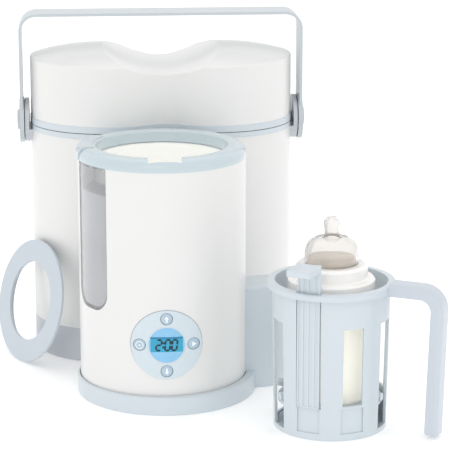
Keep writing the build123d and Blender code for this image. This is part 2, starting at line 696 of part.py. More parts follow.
def power_board():
    low = RING_HEIGHT + POWER_BOARD_RISE
    left = POWER_BOARD_LEFT_X
    back = POWER_BOARD_Y + BOARD_THICKNESS
    board = block(left, left + POWER_BOARD_WIDTH, POWER_BOARD_Y, back, low, low + POWER_BOARD_HEIGHT)
    middle = left + POWER_BOARD_WIDTH / 2
    board += block(middle - POWER_COIL_WIDTH / 2, middle + POWER_COIL_WIDTH / 2,
                   back, back + POWER_COIL_DEPTH,
                   low + POWER_COIL_RISE, low + POWER_COIL_RISE + POWER_COIL_HEIGHT)
    return inlet_place(board)


# ---------------------------------------------------------------- carrier

def peanut(inset):
    """Carrier plan: two round lobes joined by a hollow waist, moved in by an inset."""
    c, r, w = LOBE_OFFSET, LOBE_RADIUS, WAIST_HALF_DEPTH
    waist_radius = (c * c + w * w - r * r) / (2 * (r - w))
    ux = -c / (r + waist_radius)
    uy = (w + waist_radius) / (r + waist_radius)
    tx = c + (r - inset) * ux
    ty = (r - inset) * uy
    end = c + r - inset
    mid = w - inset
    edges = [
        ThreePointArc((tx, ty), (end, 0), (tx, -ty)),
        ThreePointArc((tx, -ty), (0, -mid), (-tx, -ty)),
        ThreePointArc((-tx, -ty), (-end, 0), (-tx, ty)),
        ThreePointArc((-tx, ty), (0, mid), (tx, ty)),
    ]
    return make_face(edges)


def peanut_prism(inset, z0, z1):
    return Pos(0, 0, z0) * extrude(peanut(inset), z1 - z0)


def peanut_band(outer_inset, inner_inset, z0, z1):
    return peanut_prism(outer_inset, z0, z1) - peanut_prism(inner_inset, z0, z1)


def well_centres():
    return [(-LOBE_OFFSET, 0), (LOBE_OFFSET, 0)]


def on_carrier(part):
    return Pos(CARRIER_X, CARRIER_Y, 0) * part


def carrier_shell():
    return peanut_band(0, CARRIER_WALL, CUP_HEIGHT, RIM_BOTTOM_Z)


def carrier_cup():
    cup = peanut_prism(0, 0, CUP_HEIGHT)
    cup = fillet(cup.faces().sort_by(Axis.Z)[0].edges(), CUP_FOOT_ROUND)
    return cup - peanut_prism(CARRIER_WALL, CUP_FLOOR, CUP_HEIGHT)


def carrier_rim():
    return peanut_band(-RIM_PROUD, RIM_WIDTH, RIM_BOTTOM_Z, RIM_TOP_Z)


def carrier_liner():
    top = RIM_BOTTOM_Z
    liner = peanut_prism(RIM_WIDTH + SEAT_GAP, top - WELL_PLATE_THICKNESS, top)
    for x, y in well_centres():
        liner += disc(BOTTLE_WELL_RADIUS + BOTTLE_WELL_WALL,
                      BOTTLE_WELL_FLOOR_Z - BOTTLE_WELL_WALL, top, x, y)
    for x, y in well_centres():
        liner -= disc(BOTTLE_WELL_RADIUS, BOTTLE_WELL_FLOOR_Z, top, x, y)
    return liner


def carrier_foam():
    inset = CARRIER_WALL + SEAT_GAP
    foam = peanut_prism(inset, CUP_FLOOR + SEAT_GAP, RIM_BOTTOM_Z - WELL_PLATE_THICKNESS - SEAT_GAP)
    for x, y in well_centres():
        foam -= disc(BOTTLE_WELL_RADIUS + BOTTLE_WELL_WALL + SEAT_GAP,
                     BOTTLE_WELL_FLOOR_Z - BOTTLE_WELL_WALL - SEAT_GAP, RIM_BOTTOM_Z, x, y)
    return foam


def lid_form(inset):
    """Domed lid with its hand trough, moved in by a wall."""
    form = peanut_prism(inset, lid_bottom(), LID_TOP_Z + 1) & lid_dome(inset)
    trough_z = TROUGH_FLOOR_Z + TROUGH_RADIUS
    reach = LOBE_RADIUS + CUT_ROOM
    return form - rod_y(TROUGH_RADIUS + inset, -reach, reach, 0, trough_z)


def lid_dome(inset):
    """Everything under the lid's domed top: a ridge along X with a round cap at each end."""
    radius = LID_DOME_RADIUS - inset
    centre_z = LID_TOP_Z - LID_DOME_RADIUS
    reach = LOBE_RADIUS + CUT_ROOM
    low = lid_bottom() - 1

    def top(distance):
        return centre_z + math.sqrt(radius ** 2 - distance ** 2)

    walls = Polyline((0, top(0)), (0, low), (reach, low), (reach, top(reach)))
    crown = ThreePointArc((reach, top(reach)), (reach / 2, top(reach / 2)), (0, top(0)))
    half_section = make_face([*walls.edges(), crown])
    cap = revolve(Plane.XZ * half_section, Axis.Z)
    ridge = extrude(Plane.YZ * half_section, LID_DOME_OFFSET, both=True)
    ridge += mirror(ridge, Plane.XZ)
    return ridge + Pos(LID_DOME_OFFSET, 0, 0) * cap + Pos(-LID_DOME_OFFSET, 0, 0) * cap


def lid_bottom():
    return RIM_TOP_Z + LID_GAP + LID_RIM_HEIGHT


def lid_shell():
    outer = lid_form(0)
    low = lid_bottom() + LID_FOOT_BAND
    upper = outer.edges().filter_by(lambda e: min(v.Z for v in e.vertices()) > low)
    return fillet(upper, LID_EDGE_ROUND) - lid_form(CARRIER_WALL)


def lid_rim():
    z0 = RIM_TOP_Z + LID_GAP
    return peanut_band(-RIM_PROUD, RIM_WIDTH, z0, z0 + LID_RIM_HEIGHT)


def lid_plate():
    top = lid_bottom()
    return peanut_prism(RIM_WIDTH + SEAT_GAP, top - LID_PLATE_THICKNESS, top)


def lid_gasket():
    top = lid_bottom() - LID_PLATE_THICKNESS
    return peanut_band(GASKET_INSET, GASKET_INSET + GASKET_WIDTH, RIM_BOTTOM_Z + LID_GAP, top)


def lid_foam():
    inset = CARRIER_WALL + SEAT_GAP
    foam = lid_form(inset)
    return foam & peanut_prism(inset, lid_bottom() + SEAT_GAP, LID_TOP_Z)


def ear_faces():
    """Inner and outer X of an ear, from the carrier's middle."""
    inner = LOBE_OFFSET + LOBE_RADIUS + EAR_STANDOFF
    return inner, inner + EAR_THICKNESS


def hub_faces():
    """Inner and outer X of a bail hub."""
    inner = ear_faces()[1] + HUB_GAP
    return inner, inner + HUB_THICKNESS


def hinge_ear():
    inner, outer = ear_faces()
    ear = rod_x(EAR_RADIUS, inner, outer, 0, PIVOT_Z)
    outer_rim = ear.edges().filter_by(GeomType.CIRCLE).sort_by(Axis.X)[-1]
    ear = fillet(outer_rim, EAR_ROUND)
    foot_top = RIM_BOTTOM_Z
    foot = block(LOBE_OFFSET + LOBE_RADIUS - EAR_FOOT_DEPTH, inner, -EAR_RADIUS, EAR_RADIUS,
                 EAR_FOOT_BOTTOM_Z, foot_top)
    foot &= rod_x(EAR_RADIUS, 0, inner, 0, PIVOT_Z)
    ear += foot - peanut_prism(0, EAR_FOOT_BOTTOM_Z, foot_top)
    return ear - rod_x(PIN_RADIUS, inner - 1, outer + 1, 0, PIVOT_Z)


def pivot_pin():
    """Headed pin from the ear through the bail's hub."""
    start = ear_faces()[0] + PIN_RECESS
    head = hub_faces()[1] + SEAT_GAP
    pin = rod_x(PIN_RADIUS, start, head, 0, PIVOT_Z)
    cap = rod_x(CAP_RADIUS, head, head + CAP_THICKNESS, 0, PIVOT_Z)
    outer_rim = cap.edges().filter_by(GeomType.CIRCLE).sort_by(Axis.X)[-1]
    return pin + fillet(outer_rim, CAP_ROUND)


def mirrored(part):
    return mirror(part, Plane.YZ)


def bail():
    inner, outer = hub_faces()
    strap_outer = inner + STRAP_STEP + STRAP_THICKNESS
    frame = strap_loop(strap_outer, STRAP_TOP_Z, STRAP_CORNER, STRAP_WIDTH)
    frame -= strap_loop(strap_outer - STRAP_THICKNESS, STRAP_TOP_Z - STRAP_THICKNESS,
                        STRAP_CORNER - STRAP_THICKNESS, STRAP_WIDTH + CUT_ROOM)
    for side in (-1, 1):
        x0, x1 = sorted((side * inner, side * outer))
        frame += rod_x(HUB_RADIUS, x0, x1, 0, PIVOT_Z)
    for side in (-1, 1):
        x0, x1 = sorted((side * (inner - 1), side * (outer + 1)))
        frame -= rod_x(PIN_RADIUS + RUNNING_GAP, x0, x1, 0, PIVOT_Z)
    return frame


def strap_loop(half_length, top_z, corner, width):
    """Upright slab with two round upper corners, from the pivots to the bail's top."""
    height = top_z - PIVOT_Z
    face = Pos(0, PIVOT_Z + height / 2) * Rectangle(2 * half_length, height)
    face = fillet(face.vertices().group_by(Axis.Y)[-1], corner)
    return extrude(Plane.XZ * face, width / 2, both=True)


# ---------------------------------------------------------------- basket

def on_basket(part):
    return Pos(BASKET_X, BASKET_Y, 0) * part


def basket_window(azimuth_deg, z0, z1, width, depth0, depth1):
    cutter = block(-width / 2, width / 2, -depth1, -depth0, z0, z1)
    return at_azimuth(azimuth_deg, cutter)


def basket_body():
    rim_bottom = BASKET_HEIGHT - BASKET_RIM_HEIGHT
    foot_in = BASKET_FOOT_RADIUS - BASKET_WALL
    top_in = BASKET_TOP_RADIUS - BASKET_WALL
    body = turned([
        (BASKET_DRAIN_RADIUS, 0), (BASKET_FOOT_RADIUS, 0), (BASKET_TOP_RADIUS, rim_bottom),
        (BASKET_RIM_RADIUS, rim_bottom), (BASKET_RIM_RADIUS, BASKET_HEIGHT),
        (top_in, BASKET_HEIGHT), (foot_in, BASKET_FLOOR), (BASKET_DRAIN_RADIUS, BASKET_FLOOR),
    ])
    body = fillet(circle_edges(body, BASKET_RIM_RADIUS, BASKET_HEIGHT), BASKET_RIM_ROUND)
    reach = BASKET_RIM_RADIUS + CUT_ROOM
    start = WINDOW_CUT_START
    width = BASKET_WINDOW_WIDTH
    for azimuth in SHORT_WINDOW_AZIMUTHS_DEG:
        body -= basket_window(azimuth, PANEL_TOP_Z + SILL_HEIGHT, WINDOW_TOP_Z, width, start, reach)
        body -= panel_recess(azimuth)
    for azimuth in LONG_WINDOW_AZIMUTHS_DEG:
        body -= basket_window(azimuth, LONG_WINDOW_BOTTOM_Z, WINDOW_TOP_Z, width, start, reach)
    body -= basket_window(STRIP_AZIMUTH_DEG, PANEL_TOP_Z - STRIP_GAP, BASKET_HEIGHT + 1,
                          STRIP_WIDTH + 2 * STRIP_GAP, start, strip_face() + STRIP_GAP)
    body -= panel_recess(STRIP_AZIMUTH_DEG)
    return body


def panel_recess(azimuth_deg):
    """Shallow pocket in the wall below a window."""
    inner = BASKET_FOOT_RADIUS - PANEL_RECESS
    pocket = tube(BASKET_RIM_RADIUS, inner, PANEL_BOTTOM_Z, PANEL_TOP_Z - STRIP_GAP)
    keep = basket_window(azimuth_deg, PANEL_BOTTOM_Z, PANEL_TOP_Z,
                         BASKET_WINDOW_WIDTH + PANEL_OVERLAP, WINDOW_CUT_START, STRIP_CUT_REACH)
    return pocket & keep


def strip_face():
    """Reach of the lifter strip's outer face from the basket's axis."""
    return BASKET_TOP_RADIUS - STRIP_INSET


def strip_band(half_width, z0, z1):
    """Block that keeps a piece of the lifter strip."""
    return block(-half_width, half_width, -STRIP_CUT_REACH, 0, z0, z1)


def lifter():
    """Ribbed strip with its finger hook, and the leg down to the platform."""
    face = strip_face()
    half = STRIP_WIDTH / 2
    back = face - STRIP_THICKNESS
    hook_low = STRIP_TOP_Z - HOOK_THICKNESS
    strip = tube(face, back, PANEL_TOP_Z, STRIP_TOP_Z) & strip_band(half, PANEL_TOP_Z, STRIP_TOP_Z)
    flutes = tube(face + 1, face - RIB_HEIGHT, PANEL_TOP_Z + FLUTE_END, hook_low - FLUTE_END)
    flutes &= strip_band(half - FLUTE_MARGIN, PANEL_TOP_Z, STRIP_TOP_Z)
    for i in range(RIB_COUNT):
        x = (i - (RIB_COUNT - 1) / 2) * RIB_PITCH
        flutes -= Pos(x, 0, 0) * strip_band(RIB_WIDTH / 2, PANEL_TOP_Z, STRIP_TOP_Z)
    hook = block(-half, half, -face - HOOK_REACH, -back, hook_low, STRIP_TOP_Z)
    hook -= disc(back, hook_low, STRIP_TOP_Z)
    hook = fillet(hook.edges().filter_by(Axis.X).sort_by(Axis.Y)[:2], HOOK_ROUND)
    return at_azimuth(STRIP_AZIMUTH_DEG, strip - flutes + hook + lifter_leg(back))


def lifter_leg(back):
    """Arm from the strip's foot and leg down to the platform, inside the basket's wall."""
    half = STRIP_WIDTH / 2
    arm_top = PANEL_TOP_Z + PLATFORM_THICKNESS
    inner_y = LEG_THICKNESS - PLATFORM_RADIUS
    arm = block(-half, half, -back - STRIP_THICKNESS / 4, inner_y, PANEL_TOP_Z, arm_top)
    return arm + block(-half, half, -PLATFORM_RADIUS, inner_y, platform_low(), arm_top)


def platform_low():
    return PLATFORM_TOP_Z - PLATFORM_THICKNESS


def platform():
    """Round plate under the bottle, with pegs that run in the long windows."""
    start = -BOTTLE_RADIUS - PEG_BOTTLE_GAP
    plate = disc(PLATFORM_RADIUS, platform_low(), PLATFORM_TOP_Z)
    for azimuth in LONG_WINDOW_AZIMUTHS_DEG:
        peg = rod_y(PEG_RADIUS, -PEG_REACH, start, 0, PEG_Z)
        peg += block(-LUG_WIDTH / 2, LUG_WIDTH / 2, 1 - PLATFORM_RADIUS, start, platform_low(), PEG_Z)
        plate += at_azimuth(azimuth, peg)
    seat = block(-STRIP_WIDTH / 2 - SEAT_GAP, STRIP_WIDTH / 2 + SEAT_GAP, -STRIP_CUT_REACH,
                 LEG_THICKNESS - PLATFORM_RADIUS, platform_low(), PLATFORM_TOP_Z)
    return plate - at_azimuth(STRIP_AZIMUTH_DEG, seat)


def basket_handle():
    """Arm from the rim and a hanging grip, cut from one bent bar."""
    outer = HANDLE_OUTER_REACH
    inner = outer - HANDLE_THICKNESS
    corner = HANDLE_CORNER
    start = BASKET_RIM_RADIUS - HANDLE_ROOT
    outline = [
        (start, HANDLE_TOP_Z), (outer, HANDLE_TOP_Z), (outer - HANDLE_SLANT, HANDLE_FOOT_Z),
        (inner - HANDLE_SLANT, HANDLE_FOOT_Z), (inner, HANDLE_TOP_Z - HANDLE_THICKNESS),
        (start, HANDLE_TOP_Z - HANDLE_THICKNESS),
    ]
    face = make_face(Polyline(*outline, close=True))
    outside = face.vertices().sort_by_distance((outer, HANDLE_TOP_Z))[0]
    face = fillet(outside, corner)
    inside = face.vertices().sort_by_distance((inner, HANDLE_TOP_Z - HANDLE_THICKNESS))[0]
    face = fillet(inside, corner - HANDLE_THICKNESS)
    bar = extrude(Plane.XZ * face, HANDLE_WIDTH / 2, both=True)
    bar = fillet(side_edges(bar).filter_by(lambda e: is_outside(e.center())), HANDLE_OUTER_ROUND)
    bar = fillet(side_edges(bar).filter_by(lambda e: is_inside(e.center())), HANDLE_INNER_ROUND)
    bar -= disc(BASKET_RIM_RADIUS, 0, HANDLE_TOP_Z + 1)
    return Rot(0, 0, HANDLE_AZIMUTH_DEG - 90) * bar


def side_edges(bar):
    """Edges that run along the handle's two flat sides."""
    return bar.edges().filter_by(lambda e: is_near(abs(e.center().Y), HANDLE_WIDTH / 2))


def is_outside(point):
    """True on the handle's outer and upper edges."""
    on_top = is_near(point.Z, HANDLE_TOP_Z)
    on_grip = point.X > HANDLE_OUTER_REACH - HANDLE_THICKNESS / 2 - HANDLE_SLANT
    return on_top or on_grip


def is_inside(point):
    """True on the handle's inner and lower edges, its foot left out."""
    above_foot = point.Z > HANDLE_FOOT_Z + 1
    past_root = point.X > BASKET_RIM_RADIUS - HANDLE_ROOT + 1
    return above_foot and past_root and not is_outside(point)


# ---------------------------------------------------------------- bottle

def bottle_body():
    low = PLATFORM_TOP_Z + BOTTLE_GAP
    r, n, w, foot = BOTTLE_RADIUS, BOTTLE_NECK_RADIUS, BOTTLE_WALL, BOTTLE_FOOT_ROUND
    shoulder = BOTTLE_SHOULDER_Z
    neck_z = shoulder + BOTTLE_SHOULDER_RISE
    return turned([
        (0, low), (r - foot, low), (r, low + foot), (r, shoulder), (n, neck_z), (n, BOTTLE_TOP_Z),
        (n - w, BOTTLE_TOP_Z), (n - w, neck_z - w), (r - w, shoulder - w), (r - w, low + foot),
        (r - foot - w / 2, low + w), (0, low + w),
    ])


def screw_ring():
    s, t, w = CAP_SKIRT_RADIUS, CAP_TOP_RADIUS, CAP_WALL
    inner_top = CAP_TOP_Z - w
    return turned([
        (s - w, CAP_SKIRT_BOTTOM_Z), (s, CAP_SKIRT_BOTTOM_Z), (s, CAP_STEP_Z - CAP_SKIRT_CHAMFER),
        (s - CAP_SKIRT_CHAMFER, CAP_STEP_Z), (t + CAP_STEP_CHAMFER, CAP_STEP_Z),
        (t, CAP_STEP_Z + CAP_STEP_CHAMFER), (t, CAP_TOP_Z - CAP_TOP_CHAMFER),
        (t - CAP_TOP_CHAMFER, CAP_TOP_Z), (CAP_MOUTH_RADIUS, CAP_TOP_Z), (CAP_MOUTH_RADIUS, inner_top),
        (t - w - CAP_STEP_CHAMFER, inner_top), (t - w, inner_top - CAP_STEP_CHAMFER),
        (t - w, CAP_STEP_Z - w), (s - w, CAP_STEP_Z - w),
    ])


def teat_curve(inset):
    """Half outline of the bell, the neck and the bulb, moved in by the wall."""
    base = CAP_MOUTH_RADIUS - SLIP_GAP - inset
    neck = TEAT_NECK_RADIUS - inset
    bulb = TEAT_TIP_RADIUS - inset
    bell_rise = TEAT_NECK_Z - inset - TEAT_BELL_Z
    bulb_z = TEAT_TIP_Z - TEAT_TIP_RADIUS
    turns = [math.pi / 2 * i / TEAT_ARC_STEPS for i in range(TEAT_ARC_STEPS)]
    bell = [(neck + (base - neck) * math.cos(a), TEAT_BELL_Z + bell_rise * math.sin(a)) for a in turns]
    tip = [(bulb * math.cos(a), bulb_z + bulb * math.sin(a)) for a in turns]
    return [*bell, (neck, TEAT_NECK_Z - inset), *tip, (0, bulb_z + bulb)]


def teat():
    """Silicone teat, its flange held under the screw ring."""
    base = CAP_MOUTH_RADIUS - SLIP_GAP
    flange_top = CAP_TOP_Z - CAP_WALL - SLIP_GAP
    flange_low = flange_top - TEAT_FLANGE_THICKNESS
    flange = [
        (base - TEAT_WALL, flange_low), (TEAT_FLANGE_RADIUS, flange_low),
        (TEAT_FLANGE_RADIUS, flange_top), (base, flange_top),
    ]
    return turned([*flange, *teat_curve(0), *reversed(teat_curve(TEAT_WALL))])


# ---------------------------------------------------------------- adapter ring

def adapter_ring():
    half = ADAPTER_THICKNESS / 2
    ring = tube(ADAPTER_RADIUS, ADAPTER_BORE_RADIUS, -half, half)
    skirt = tube(ADAPTER_SKIRT_RADIUS, ADAPTER_SKIRT_RADIUS - ADAPTER_SKIRT_WALL,
                 -half - ADAPTER_SKIRT_DEPTH, -half)
    lean = math.radians(ADAPTER_LEAN_DEG)
    centre_z = ADAPTER_RADIUS * math.cos(lean) + half * math.sin(lean)
    place = Pos(ADAPTER_X, ADAPTER_Y, centre_z) * Rot(0, 0, ADAPTER_FACING_DEG)
    return place * Rot(0, 90 - ADAPTER_LEAN_DEG, 0) * (ring + skirt)


# ---------------------------------------------------------------- output

def all_parts():
    up, left, right, down = [button(x, z) for x, z in button_spots()]
    parts = {
        "warmer_shell": warmer_shell(),
        "warmer_collar": collar(),
        "well_liner": well_liner(),
        "base_ring": base_ring(),
        "base_plate": base_plate(),
        "foot_pads": foot_pads(),
        "base_screws": base_screws(),
        "inner_frame": inner_frame(),
        "heater_plate": heater_plate(),
        "heating_element": heating_element(),
        "thermostat": thermostat(),
        "control_disc": control_disc(),
        "display_lens": display_lens(),
        "lcd_panel": lcd_panel(),
        "control_board": control_board(),
        "button_up": up,
        "button_clock": left,
        "button_start": right,
        "button_down": down,
        "water_tank": water_tank(),
        "tank_cap": tank_cap(),
        "tank_dock": tank_dock(),
        "side_housing": side_housing(),
        "housing_floor": housing_floor(),
        "power_inlet": power_inlet(),
        "power_board": power_board(),
        "carrier_shell": on_carrier(carrier_shell()),
        "carrier_cup": on_carrier(carrier_cup()),
        "carrier_rim": on_carrier(carrier_rim()),
        "carrier_liner": on_carrier(carrier_liner()),
        "carrier_foam": on_carrier(carrier_foam()),
        "hinge_ears": [on_carrier(hinge_ear()), on_carrier(mirrored(hinge_ear()))],
        "pivot_pins": [on_carrier(pivot_pin()), on_carrier(mirrored(pivot_pin()))],
        "bail_strap": on_carrier(bail()),
        "lid_shell": on_carrier(lid_shell()),
        "lid_rim": on_carrier(lid_rim()),
        "lid_plate": on_carrier(lid_plate()),
        "lid_gasket": on_carrier(lid_gasket()),
        "lid_foam": on_carrier(lid_foam()),
        "basket_body": on_basket(basket_body()),
        "basket_handle": on_basket(basket_handle()),
        "lifter_strip": on_basket(lifter()),
        "lifter_platform": on_basket(platform()),
        "bottle_body": on_basket(bottle_body()),
        "screw_ring": on_basket(screw_ring()),
        "teat": on_basket(teat()),
        "adapter_ring": adapter_ring(),
    }
    return parts


def write_parts():
    os.makedirs("parts", exist_ok=True)
    for name, shape in all_parts().items():
        if isinstance(shape, list):
            shape = Compound(children=shape)
        export_step(shape, f"parts/{name}.step")


write_parts()
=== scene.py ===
"""Looks of the bottle warming set: materials, display, keys, filler lid, water, teat and studio."""
import json
import math

import bmesh
import bpy
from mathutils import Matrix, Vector


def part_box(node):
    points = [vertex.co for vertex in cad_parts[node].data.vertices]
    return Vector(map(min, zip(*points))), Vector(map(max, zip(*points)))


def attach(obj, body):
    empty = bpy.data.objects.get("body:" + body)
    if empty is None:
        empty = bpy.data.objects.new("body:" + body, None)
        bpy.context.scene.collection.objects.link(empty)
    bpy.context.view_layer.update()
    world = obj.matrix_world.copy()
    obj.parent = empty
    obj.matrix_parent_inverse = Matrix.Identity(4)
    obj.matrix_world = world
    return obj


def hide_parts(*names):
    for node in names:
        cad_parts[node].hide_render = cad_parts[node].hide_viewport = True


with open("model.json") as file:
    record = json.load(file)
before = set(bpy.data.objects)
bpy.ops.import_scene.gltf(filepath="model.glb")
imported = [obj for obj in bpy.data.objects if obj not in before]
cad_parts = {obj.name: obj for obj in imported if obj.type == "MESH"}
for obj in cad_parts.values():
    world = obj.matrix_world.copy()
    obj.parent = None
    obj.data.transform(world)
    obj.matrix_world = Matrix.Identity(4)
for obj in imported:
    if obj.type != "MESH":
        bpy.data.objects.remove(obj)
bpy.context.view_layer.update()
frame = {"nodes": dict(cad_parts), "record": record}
NODES = frame["nodes"]
MM = 0.001

# Camera: a long lens, looking down at the set from the front
CAMERA_PLACE = (-0.0637, -1.5254, 0.515)
CAMERA_PITCH_DEG = 75.85
CAMERA_YAW_DEG = -4.2
CAMERA_LENS = 164.0
CAMERA_SENSOR = 36.0
CAMERA_FAR = 20.0

# Noise values that give the low and the high end of a spread
NOISE_LOW = 0.3
NOISE_HIGH = 0.7

# Floor
FLOOR_REACH = 12.0
FLOOR_DROP = 0.2 * MM                   # below the standing surface
FLOOR_GLOW = 0.2

# Surfaces taken from the frame
LENS_LOW, LENS_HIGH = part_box("display_lens")
LENS_FACE = -LENS_LOW.y                 # radius of the display's curved face
LENS_RADIUS = (LENS_HIGH.z - LENS_LOW.z) / 2
DISPLAY_Z = (LENS_HIGH.z + LENS_LOW.z) / 2
KEY_FACE = -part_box("button_up")[0].y    # radius of the keys' curved face
COLLAR_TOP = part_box("warmer_collar")[1].z

# Display
MARK_LIFT = 0.08 * MM                   # each of its layers stands this far above the last
MARK_SINK = 0.25 * MM                   # how far back layers, printed marks and bezel reach
LCD_WIDTH = 24.4 * MM
LCD_HEIGHT = 11.6 * MM
LCD_RISE = 0.5 * MM                     # its middle above the display's
LCD_COLUMNS = 24
SHADE_HEIGHT = 1.3 * MM                 # painted shade: dark band along the lit window's upper edge
DIGIT_WIDTH = 3.7 * MM                  # between the middles of the segments
DIGIT_HEIGHT = 8.1 * MM
DIGIT_RISE = 0.1 * MM
DIGIT_PLACES = (("abged", -5.9 * MM), ("abcdef", 0.7 * MM), ("abcdef", 5.9 * MM))
SEGMENT_WIDTH = 1.45 * MM
SEGMENT_GAP = 0.15 * MM
SLANT = 0.11
COLON_PLACE = -2.55 * MM
COLON_RISE = 1.6 * MM
COLON_SIZE = 0.7 * MM
BEZEL_WIDTH = 1.0 * MM
BEZEL_RISE = 0.25 * MM
BEZEL_STEPS = 64

# Keys
CAP_RADIUS = 4.4 * MM
CAP_CROWN = 1.0 * MM                    # fall of the crowned face from middle to edge
CAP_EDGE = 0.5 * MM
CAP_EDGE_SHARE = 0.3                    # where the rounded edge turns
CAP_DEPTH = 4.6 * MM
CAP_RINGS = 8                           # even steps outward; the last two give way to the edge
TURN_STEPS = 40                         # sides of every turned piece
ICON_LIFT = 0.3 * MM

# Printed marks, as shares of ICON
ICON = 2.1 * MM
ARROW_LENGTH = 1.1
ARROW_WIDTH = 0.85
ARROW_NECK = 0.1
STEM_WIDTH = 0.32
STEM_TOP = 0.15
CLOCK_INNER = 1.15
CLOCK_OUTER = 1.4
CLOCK_BARS = 20
DOT_RADIUS = 0.3
DOT_CORNERS = 8
PLAY_BACK = 0.55
PLAY_TIP = 1.05
PLAY_WIDTH = 0.95

# Raised filler lid on the collar's left
FILLER_INNER = 52.5 * MM
FILLER_FLAP = 65.4 * MM                 # radius of the outer face of the flap down the side
FILLER_WALL = 1.4 * MM
FILLER_SHOULDER = 5.5 * MM
FILLER_START_DEG = -124.0
FILLER_END_DEG = -77.0
FILLER_TOP = COLLAR_TOP + 0.6 * MM
FILLER_DROP = 8.6 * MM                  # the flap's foot below the collar's top
FILLER_STEPS = 20
FILLER_ARC_STEPS = 6
FILLER_EDGE = 0.4 * MM
EDGE_SEGMENTS = 3

# Finger dimple in that lid, its heights and depths from the lid's top
DIMPLE_REACH = 57.0 * MM
DIMPLE_AZIMUTH_DEG = -103.0
DIMPLE_RADIUS = 2.2 * MM
DIMPLE_DEPTH = 0.35 * MM
DIMPLE_FLANK = 0.2 * MM
DIMPLE_FLANK_SHARE = 0.7
DIMPLE_LIP = 0.1 * MM
DIMPLE_RIM = 0.05 * MM
DIMPLE_RIM_SHARE = 1.15
DIMPLE_FOOT = 0.5 * MM
DIMPLE_FOOT_SHARE = 1.2

# Water in the tank
TANK_AZIMUTH_DEG = -60.5
TANK_INNER = 52.8 * MM
TANK_OUTER = 61.7 * MM
TANK_HALF_WIDTH = 17.0 * MM
TANK_BOTTOM = 77.0 * MM
TANK_CORNER = 11.5 * MM
WATER_LEVEL = 164.0 * MM
WATER_COLUMNS = 20
WATER_SHADE_SHEET = 0.5 * MM                   # thickness of the painted shade sheet at the water's surface
WATER_SHADE_INSET = 0.2 * MM
WATER_TILT = 4.5 * MM                   # the surface climbs the tank's inner wall

# Teat and the liquid in its bell
TEAT_BASE_RADIUS = 19.0 * MM
TEAT_BELL_RADIUS = 20.0 * MM
TEAT_BELL_Z = 126.0 * MM
TEAT_NECK_RADIUS = 5.3 * MM
TEAT_NECK_Z = 142.5 * MM
TEAT_FLARE = 0.6 * MM                   # the neck widens by this where it meets the bell
TEAT_FLARE_RISE = 3.0 * MM
TEAT_TIP_RADIUS = 6.3 * MM
TEAT_WALL = 1.5 * MM
TEAT_FLANGE = 1.8 * MM
TEAT_FULLNESS = 0.7                     # below 1 the bell's shoulder is squarer than a circle
TEAT_ARC_STEPS = 7
SOFT_ROUNDS = 3
CORNER_CUT = 0.25                       # share of each side that a corner cut takes
MERGE_DISTANCE = 1e-7
TEAT_MILK_Z = 128.5 * MM
TEAT_MILK_GAP = 0.4 * MM
TEAT_MILK_FOOT = 0.5 * MM
TEAT_MILK_CORNER = 1.0 * MM


# ---------------------------------------------------------------- materials

class Nodes:
    """Small helper that adds and links shader nodes in one material."""

    def __init__(self, name):
        self.material = bpy.data.materials.new(name)
        self.material.use_nodes = True
        self.tree = self.material.node_tree
        self.tree.nodes.clear()
        self.shader = self.add("ShaderNodeBsdfPrincipled")
        output = self.add("ShaderNodeOutputMaterial")
        self.link(self.shader.outputs["BSDF"], output.inputs["Surface"])
        self.place = self.add("ShaderNodeTexCoord").outputs["Object"]

    def add(self, kind):
        return self.tree.nodes.new(kind)

    def link(self, start, end):
        self.tree.links.new(start, end)

    def drive(self, source, socket):
        """Let a texture steer one input of the shader."""
        self.link(source, self.shader.inputs[socket])

    def set(self, **sockets):
        """Constant values straight on the shader's sockets."""
        for key, value in sockets.items():
            self.shader.inputs[key.replace("_", " ")].default_value = value

    def noise(self, scale, detail=2.0, stretch=(1, 1, 1)):
        """Noise fixed to the object's own coordinates."""
        mapping = self.add("ShaderNodeMapping")
        mapping.inputs["Scale"].default_value = stretch
        texture = self.add("ShaderNodeTexNoise")
        texture.inputs["Scale"].default_value = scale
        texture.inputs["Detail"].default_value = detail
        self.link(self.place, mapping.inputs["Vector"])
        self.link(mapping.outputs["Vector"], texture.inputs["Vector"])
        return texture.outputs["Fac"]

    def ramp(self, source, low, high, low_at=0.35, high_at=0.65):
        """Colour that goes from low to high with a texture."""
        node = self.add("ShaderNodeValToRGB")
        first, last = node.color_ramp.elements
        first.position, first.color = low_at, (*low, 1)
        last.position, last.color = high_at, (*high, 1)
        self.link(source, node.inputs["Fac"])
        return node.outputs["Color"]

    def spread(self, source, low, high):
        """Value between low and high that follows a texture."""
        node = self.add("ShaderNodeMapRange")
        node.inputs["From Min"].default_value = NOISE_LOW
        node.inputs["From Max"].default_value = NOISE_HIGH
        node.inputs["To Min"].default_value = low
        node.inputs["To Max"].default_value = high
        self.link(source, node.inputs["Value"])
        return node.outputs["Result"]

    def bump(self, source, strength, distance):
        """Fine relief from a texture."""
        node = self.add("ShaderNodeBump")
        node.inputs["Strength"].default_value = strength
        node.inputs["Distance"].default_value = distance
        self.link(source, node.inputs["Height"])
        self.drive(node.outputs["Normal"], "Normal")


def shade(color, factor):
    """Colour made darker or lighter, at most 1 in each channel."""
    return tuple(min(1.0, c * factor) for c in color)


